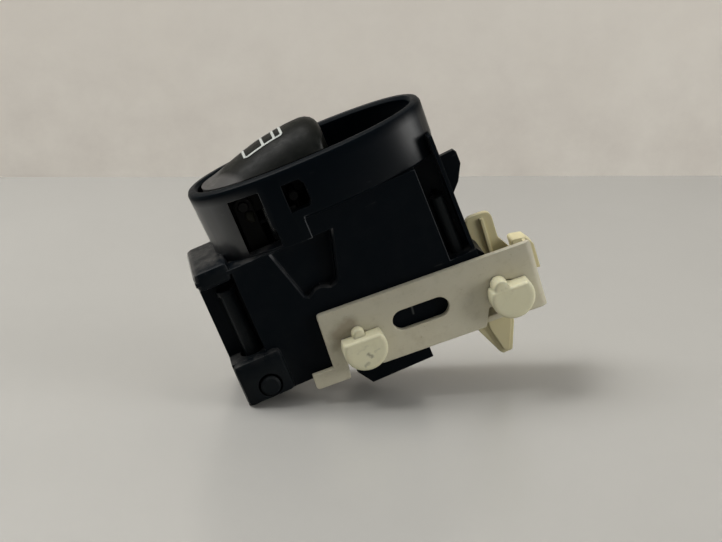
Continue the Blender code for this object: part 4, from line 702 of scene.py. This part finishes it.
def sign_lines():
    grow = LINE_WIDTH / 2
    bpy.ops.mesh.primitive_plane_add(size=1.0, location=((SIGN_LEFT + SIGN_RIGHT) / 2, 0.0, SIGN_HEIGHT))
    sign = added("window_sign")
    sign.scale = (SIGN_RIGHT - SIGN_LEFT + 2 * grow, 2 * (SIGN_HALF_DEPTH + grow), 1.0)
    settle(sign)
    bpy.ops.object.mode_set(mode="EDIT")
    for bar in BAR_PLACES:
        bpy.ops.mesh.select_all(action="SELECT")
        bpy.ops.mesh.bisect(plane_co=(bar, 0.0, 0.0), plane_no=(1.0, 0.0, 0.0))
    corner_x = (SIGN_RIGHT - SIGN_LEFT) / 2 + grow - 0.0001
    middle = (SIGN_LEFT + SIGN_RIGHT) / 2
    bpy.ops.mesh.select_mode(type="FACE")
    bpy.ops.mesh.select_all(action="SELECT")
    bpy.ops.mesh.inset(use_individual=True, use_boundary=True, thickness=grow)
    pick(sign, "FACE", lambda face: all(abs(abs(vert.co.y) - SIGN_HALF_DEPTH) < grow * 0.6 for vert in face.verts)
         and all(len(edge.link_faces) == 2 for edge in face.edges))
    bpy.ops.mesh.delete(type="FACE")
    pick(sign, "VERT", lambda vert: abs(vert.co.x - middle) > corner_x
         or abs(vert.co.y) > SIGN_HALF_DEPTH + grow * 0.7)
    half_length, half_depth = (SIGN_RIGHT - SIGN_LEFT) / 2 + grow, SIGN_HALF_DEPTH + grow
    bpy.ops.transform.resize(value=(1 + grow / half_length, 1 + grow / half_depth, 1.0),
                             center_override=(middle, 0.0, SIGN_HEIGHT))
    bpy.ops.mesh.select_all(action="SELECT")
    bpy.ops.mesh.subdivide(number_cuts=9)
    pick(sign, "VERT", lambda vert: abs(vert.co.x - middle) > half_length - SIGN_CORNER
         and abs(vert.co.y) > half_depth - SIGN_CORNER)
    bpy.ops.mesh.vertices_smooth(factor=0.5, repeat=12, xaxis=True, yaxis=True, zaxis=False)
    bpy.ops.object.mode_set(mode="OBJECT")
    return sign


sign = sign_lines()
print("sign lines:", len(sign.data.polygons), "faces")

# %% [markdown]
# The ink is laid on the rocker along -Z and given a thickness of three hundredths of a
# millimetre. It stands proud by that thickness only, so it looks printed and doesn't fight the
# rocker's surface for the same place.

# %% Laying the sign on the rocker
def lay_on_rocker(piece):
    apply_modifier(piece, "SHRINKWRAP", target=frame["nodes"]["rocker_cap"], wrap_method="PROJECT",
                   use_project_z=True, use_negative_direction=True, use_positive_direction=False, offset=0.00006)
    apply_modifier(piece, "SOLIDIFY", thickness=INK_THICKNESS, offset=1.0)
    bpy.ops.object.shade_smooth_by_angle(angle=math.radians(40.0))


lay_on_rocker(sign)
WHITE_INK = fine_finish("white_ink", (0.40, 0.42, 0.40), (0.30, 0.32, 0.30),
                        0.5, 0.0, 2500.0, (1.0, 1.0, 1.0))
clothe(sign, WHITE_INK, "rocker")

# %% [markdown]
# ## Grease at the pivot
# Through the big window the end of the pivot pin shows, and just under it a dab of yellowed grease.
# A flattened blob is enough: a sphere with few segments, pressed flat against the ear, with a few of
# its vertices pushed about, and smoothed by a Subdivision Surface modifier.

# %% The dab of grease
pin_low, pin_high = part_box("pivot_pin")
pivot_x, pivot_z = (pin_low.x + pin_high.x) / 2, (pin_low.z + pin_high.z) / 2
EAR_FACE = pin_low.y + 0.0004


def grease_dab():
    bpy.ops.mesh.primitive_uv_sphere_add(segments=12, ring_count=8, radius=0.0011,
                                         location=(pivot_x + 0.0005, EAR_FACE, pivot_z - 0.0025))
    dab = added("grease_dab")
    dab.scale = (1.0, 0.45, 1.15)
    settle(dab)
    bpy.ops.object.mode_set(mode="EDIT")
    pick(dab, "VERT", lambda vert: vert.co.y > EAR_FACE - 0.00002)
    bpy.ops.transform.resize(value=(1.0, 0.0, 1.0), center_override=(pivot_x, EAR_FACE - 0.00002, pivot_z))
    pick(dab, "VERT", lambda vert: vert.co.z < pivot_z - 0.0031)
    bpy.ops.transform.translate(value=(0.00035, 0.0, -0.0004))
    pick(dab, "VERT", lambda vert: vert.co.x > pivot_x + 0.0012 and vert.co.z > pivot_z - 0.0026)
    bpy.ops.transform.translate(value=(0.00018, 0.0, 0.00025))
    bpy.ops.object.mode_set(mode="OBJECT")
    apply_modifier(dab, "SUBSURF", levels=1, render_levels=1)
    bpy.ops.object.shade_smooth()
    return dab


dab = grease_dab()
# The grease is coloured almost black, darker than yellowed grease: painted shade inside the window.
SHADED_GREASE = fine_finish("shaded_old_grease", (0.009, 0.009, 0.0045), (0.005, 0.005, 0.0026), 0.4, 0.0, 1500.0, (1.0, 1.0, 1.0))
SHADED_GREASE.node_tree.nodes["Principled BSDF"].inputs["Specular IOR Level"].default_value = 0.12
clothe(dab, SHADED_GREASE, "switch_body")

# %% [markdown]
# ## The back of the small window
# Seen through the small window, the inside is closed and dark. The oval passage in the CAD model
# reaches the rear face in one short strip, where daylight would come through. A thin plate of the
# housing's own plastic closes it. It is a cube with its edges rounded by a Bevel modifier.

# %% Closing plate
PLATE_CENTRE = (-0.00365, 0.0075, -0.0136)
PLATE_SIZE = (0.0056, 0.0009, 0.0044)


def closing_plate():
    bpy.ops.mesh.primitive_cube_add(size=1.0, location=PLATE_CENTRE)
    plate = added("closing_plate")
    plate.scale = PLATE_SIZE
    settle(plate)
    apply_modifier(plate, "BEVEL", width=0.00015, segments=2)
    bpy.ops.object.shade_smooth_by_angle(angle=math.radians(30.0))
    return plate


clothe(closing_plate(), BLACK_PLASTIC, "switch_body")

# %% [markdown]
# ## Table and wall
# The block stands on a pale grey table in front of a pale warm wall. Both are stage, not part of the
# object. The table is a plane through the foot's lower edge, tilted as the block leans. Seen from
# behind, each plane turns transparent, so that a camera under the table or behind the wall still
# sees the block.

# %% The stage
table_toward = (back - back.dot(TABLE_UP) * TABLE_UP).normalized()
table_across = TABLE_UP.cross(table_toward)
foot_low, foot_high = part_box("housing")
FOOT_EDGE = Vector((foot_low.x, 0.0, foot_low.z))
TABLE_POINT = Vector((0.0, 0.0, 0.0)) + TABLE_UP * (FOOT_EDGE.dot(TABLE_UP) - 0.00005)
WALL_BEHIND = 0.175
STAGE_SIZE = 1.8


def stage_point(across, toward, above):
    """A point by its distances across the picture, towards the camera and above the table."""
    return TABLE_POINT + table_across * across + table_toward * toward + TABLE_UP * above


def stage_material(name, colour, other, scale, roughness, darker_low_colour=None):
    material, tree, shader = new_material(name)
    where = add_node(tree, "ShaderNodeTexCoord").outputs["Object"]
    cloud = add_node(tree, "ShaderNodeTexNoise", Vector=where, Scale=scale, Detail=4.0, Roughness=0.6)
    tone = blend_colour(tree, ramp(tree, cloud.outputs[0], 0.4, 0.7), colour + (1.0,), other + (1.0,))
    # The wall is darker in smears near its foot.
    if darker_low_colour:
        height = add_node(tree, "ShaderNodeSeparateXYZ", Vector=where).outputs["Y"]
        smears = add_node(tree, "ShaderNodeTexNoise", Vector=where, Scale=45.0, Detail=5.0, Roughness=0.65)
        low = math_node(tree, "MULTIPLY", ramp(tree, height, -0.85, -0.76, 1.0, 0.0),
                        ramp(tree, smears.outputs[0], 0.38, 0.72))
        tone = blend_colour(tree, low, tone, darker_low_colour + (1.0,))
    tree.links.new(tone, shader.inputs["Base Color"])
    shader.inputs["Roughness"].default_value = roughness
    shader.inputs["Specular IOR Level"].default_value = 0.5
    clear = add_node(tree, "ShaderNodeBsdfTransparent")
    behind = add_node(tree, "ShaderNodeNewGeometry").outputs["Backfacing"]
    mixed = add_node(tree, "ShaderNodeMixShader", _0=behind, _1=shader.outputs[0], _2=clear.outputs[0])
    tree.links.new(mixed.outputs[0], tree.nodes["Material Output"].inputs["Surface"])
    return material


def stage_plane(name, centre, axis, side, size, material):
    """A plane with its normal along axis and its X side along side."""
    bpy.ops.mesh.primitive_plane_add(size=size)
    plane = added(name)
    third = axis.cross(side)
    plane.matrix_world = Matrix((
        (side.x, third.x, axis.x, centre.x),
        (side.y, third.y, axis.y, centre.y),
        (side.z, third.z, axis.z, centre.z),
        (0.0, 0.0, 0.0, 1.0),
    ))
    plane.data.materials.append(material)


TABLE_GREY = stage_material("table_grey", (0.357, 0.352, 0.333), (0.343, 0.338, 0.319), 9.0, 0.26)
WALL_BEIGE = stage_material("wall_beige", (0.82, 0.775, 0.705), (0.80, 0.752, 0.68), 26.0, 0.8, (0.72, 0.67, 0.61))
stage_plane("table", stage_point(0.0, STAGE_SIZE / 2 - WALL_BEHIND, 0.0), TABLE_UP, table_across, STAGE_SIZE, TABLE_GREY)
stage_plane("wall", stage_point(0.0, -WALL_BEHIND, 0.85), table_toward, table_across, STAGE_SIZE, WALL_BEIGE)
print("table through", [round(value, 4) for value in TABLE_POINT])

# %% [markdown]
# ## Light
# The black plastic is almost as dark as the well, and yet its left end, its top faces and its edges
# gleam. So the room is bright behind, above and to the left, and dark on the camera's side. The world
# light follows that: its strength falls from the wall's side to the camera's. One large lamp overhead
# on the left draws the soft shadow out to the right, and a low one on the right opens the shade on
# the bent end of the bracket.

# %% Lamps and world
def add_lamp(name, across, toward, above, size, power, colour):
    """A square lamp at a place over the table, turned to the block."""
    data = bpy.data.lights.new(name, "AREA")
    data.shape = "SQUARE"
    data.size = size
    data.energy = power
    data.color = colour
    lamp = bpy.data.objects.new(name, data)
    lamp.location = stage_point(across, toward, above)
    lamp.rotation_euler = (lamp.location - LOOK_POINT).to_track_quat("Z", "Y").to_euler()
    bpy.context.scene.collection.objects.link(lamp)


def room_light(behind, ahead):
    """World light whose strength falls from behind the block to the camera's side."""
    world = bpy.data.worlds.new("pale_room")
    world.use_nodes = True
    tree = world.node_tree
    sky = tree.nodes["Background"]
    way = add_node(tree, "ShaderNodeTexCoord").outputs["Generated"]
    facing = add_node(tree, "ShaderNodeVectorMath", {"operation": "DOT_PRODUCT"}, _0=way, _1=table_toward)
    tree.links.new(ramp(tree, facing.outputs["Value"], -0.3, 0.8, behind, ahead), sky.inputs["Strength"])
    sky.inputs["Color"].default_value = (0.97, 0.98, 1.0, 1.0)
    bpy.context.scene.world = world


add_lamp("ceiling_lamp", -0.38, -0.05, 0.68, 0.36, 6.8, (1.0, 0.99, 0.97))
add_lamp("right_fill", 0.50, 0.16, 0.20, 0.25, 1.1, (1.0, 0.99, 0.96))
room_light(0.85, 0.13)
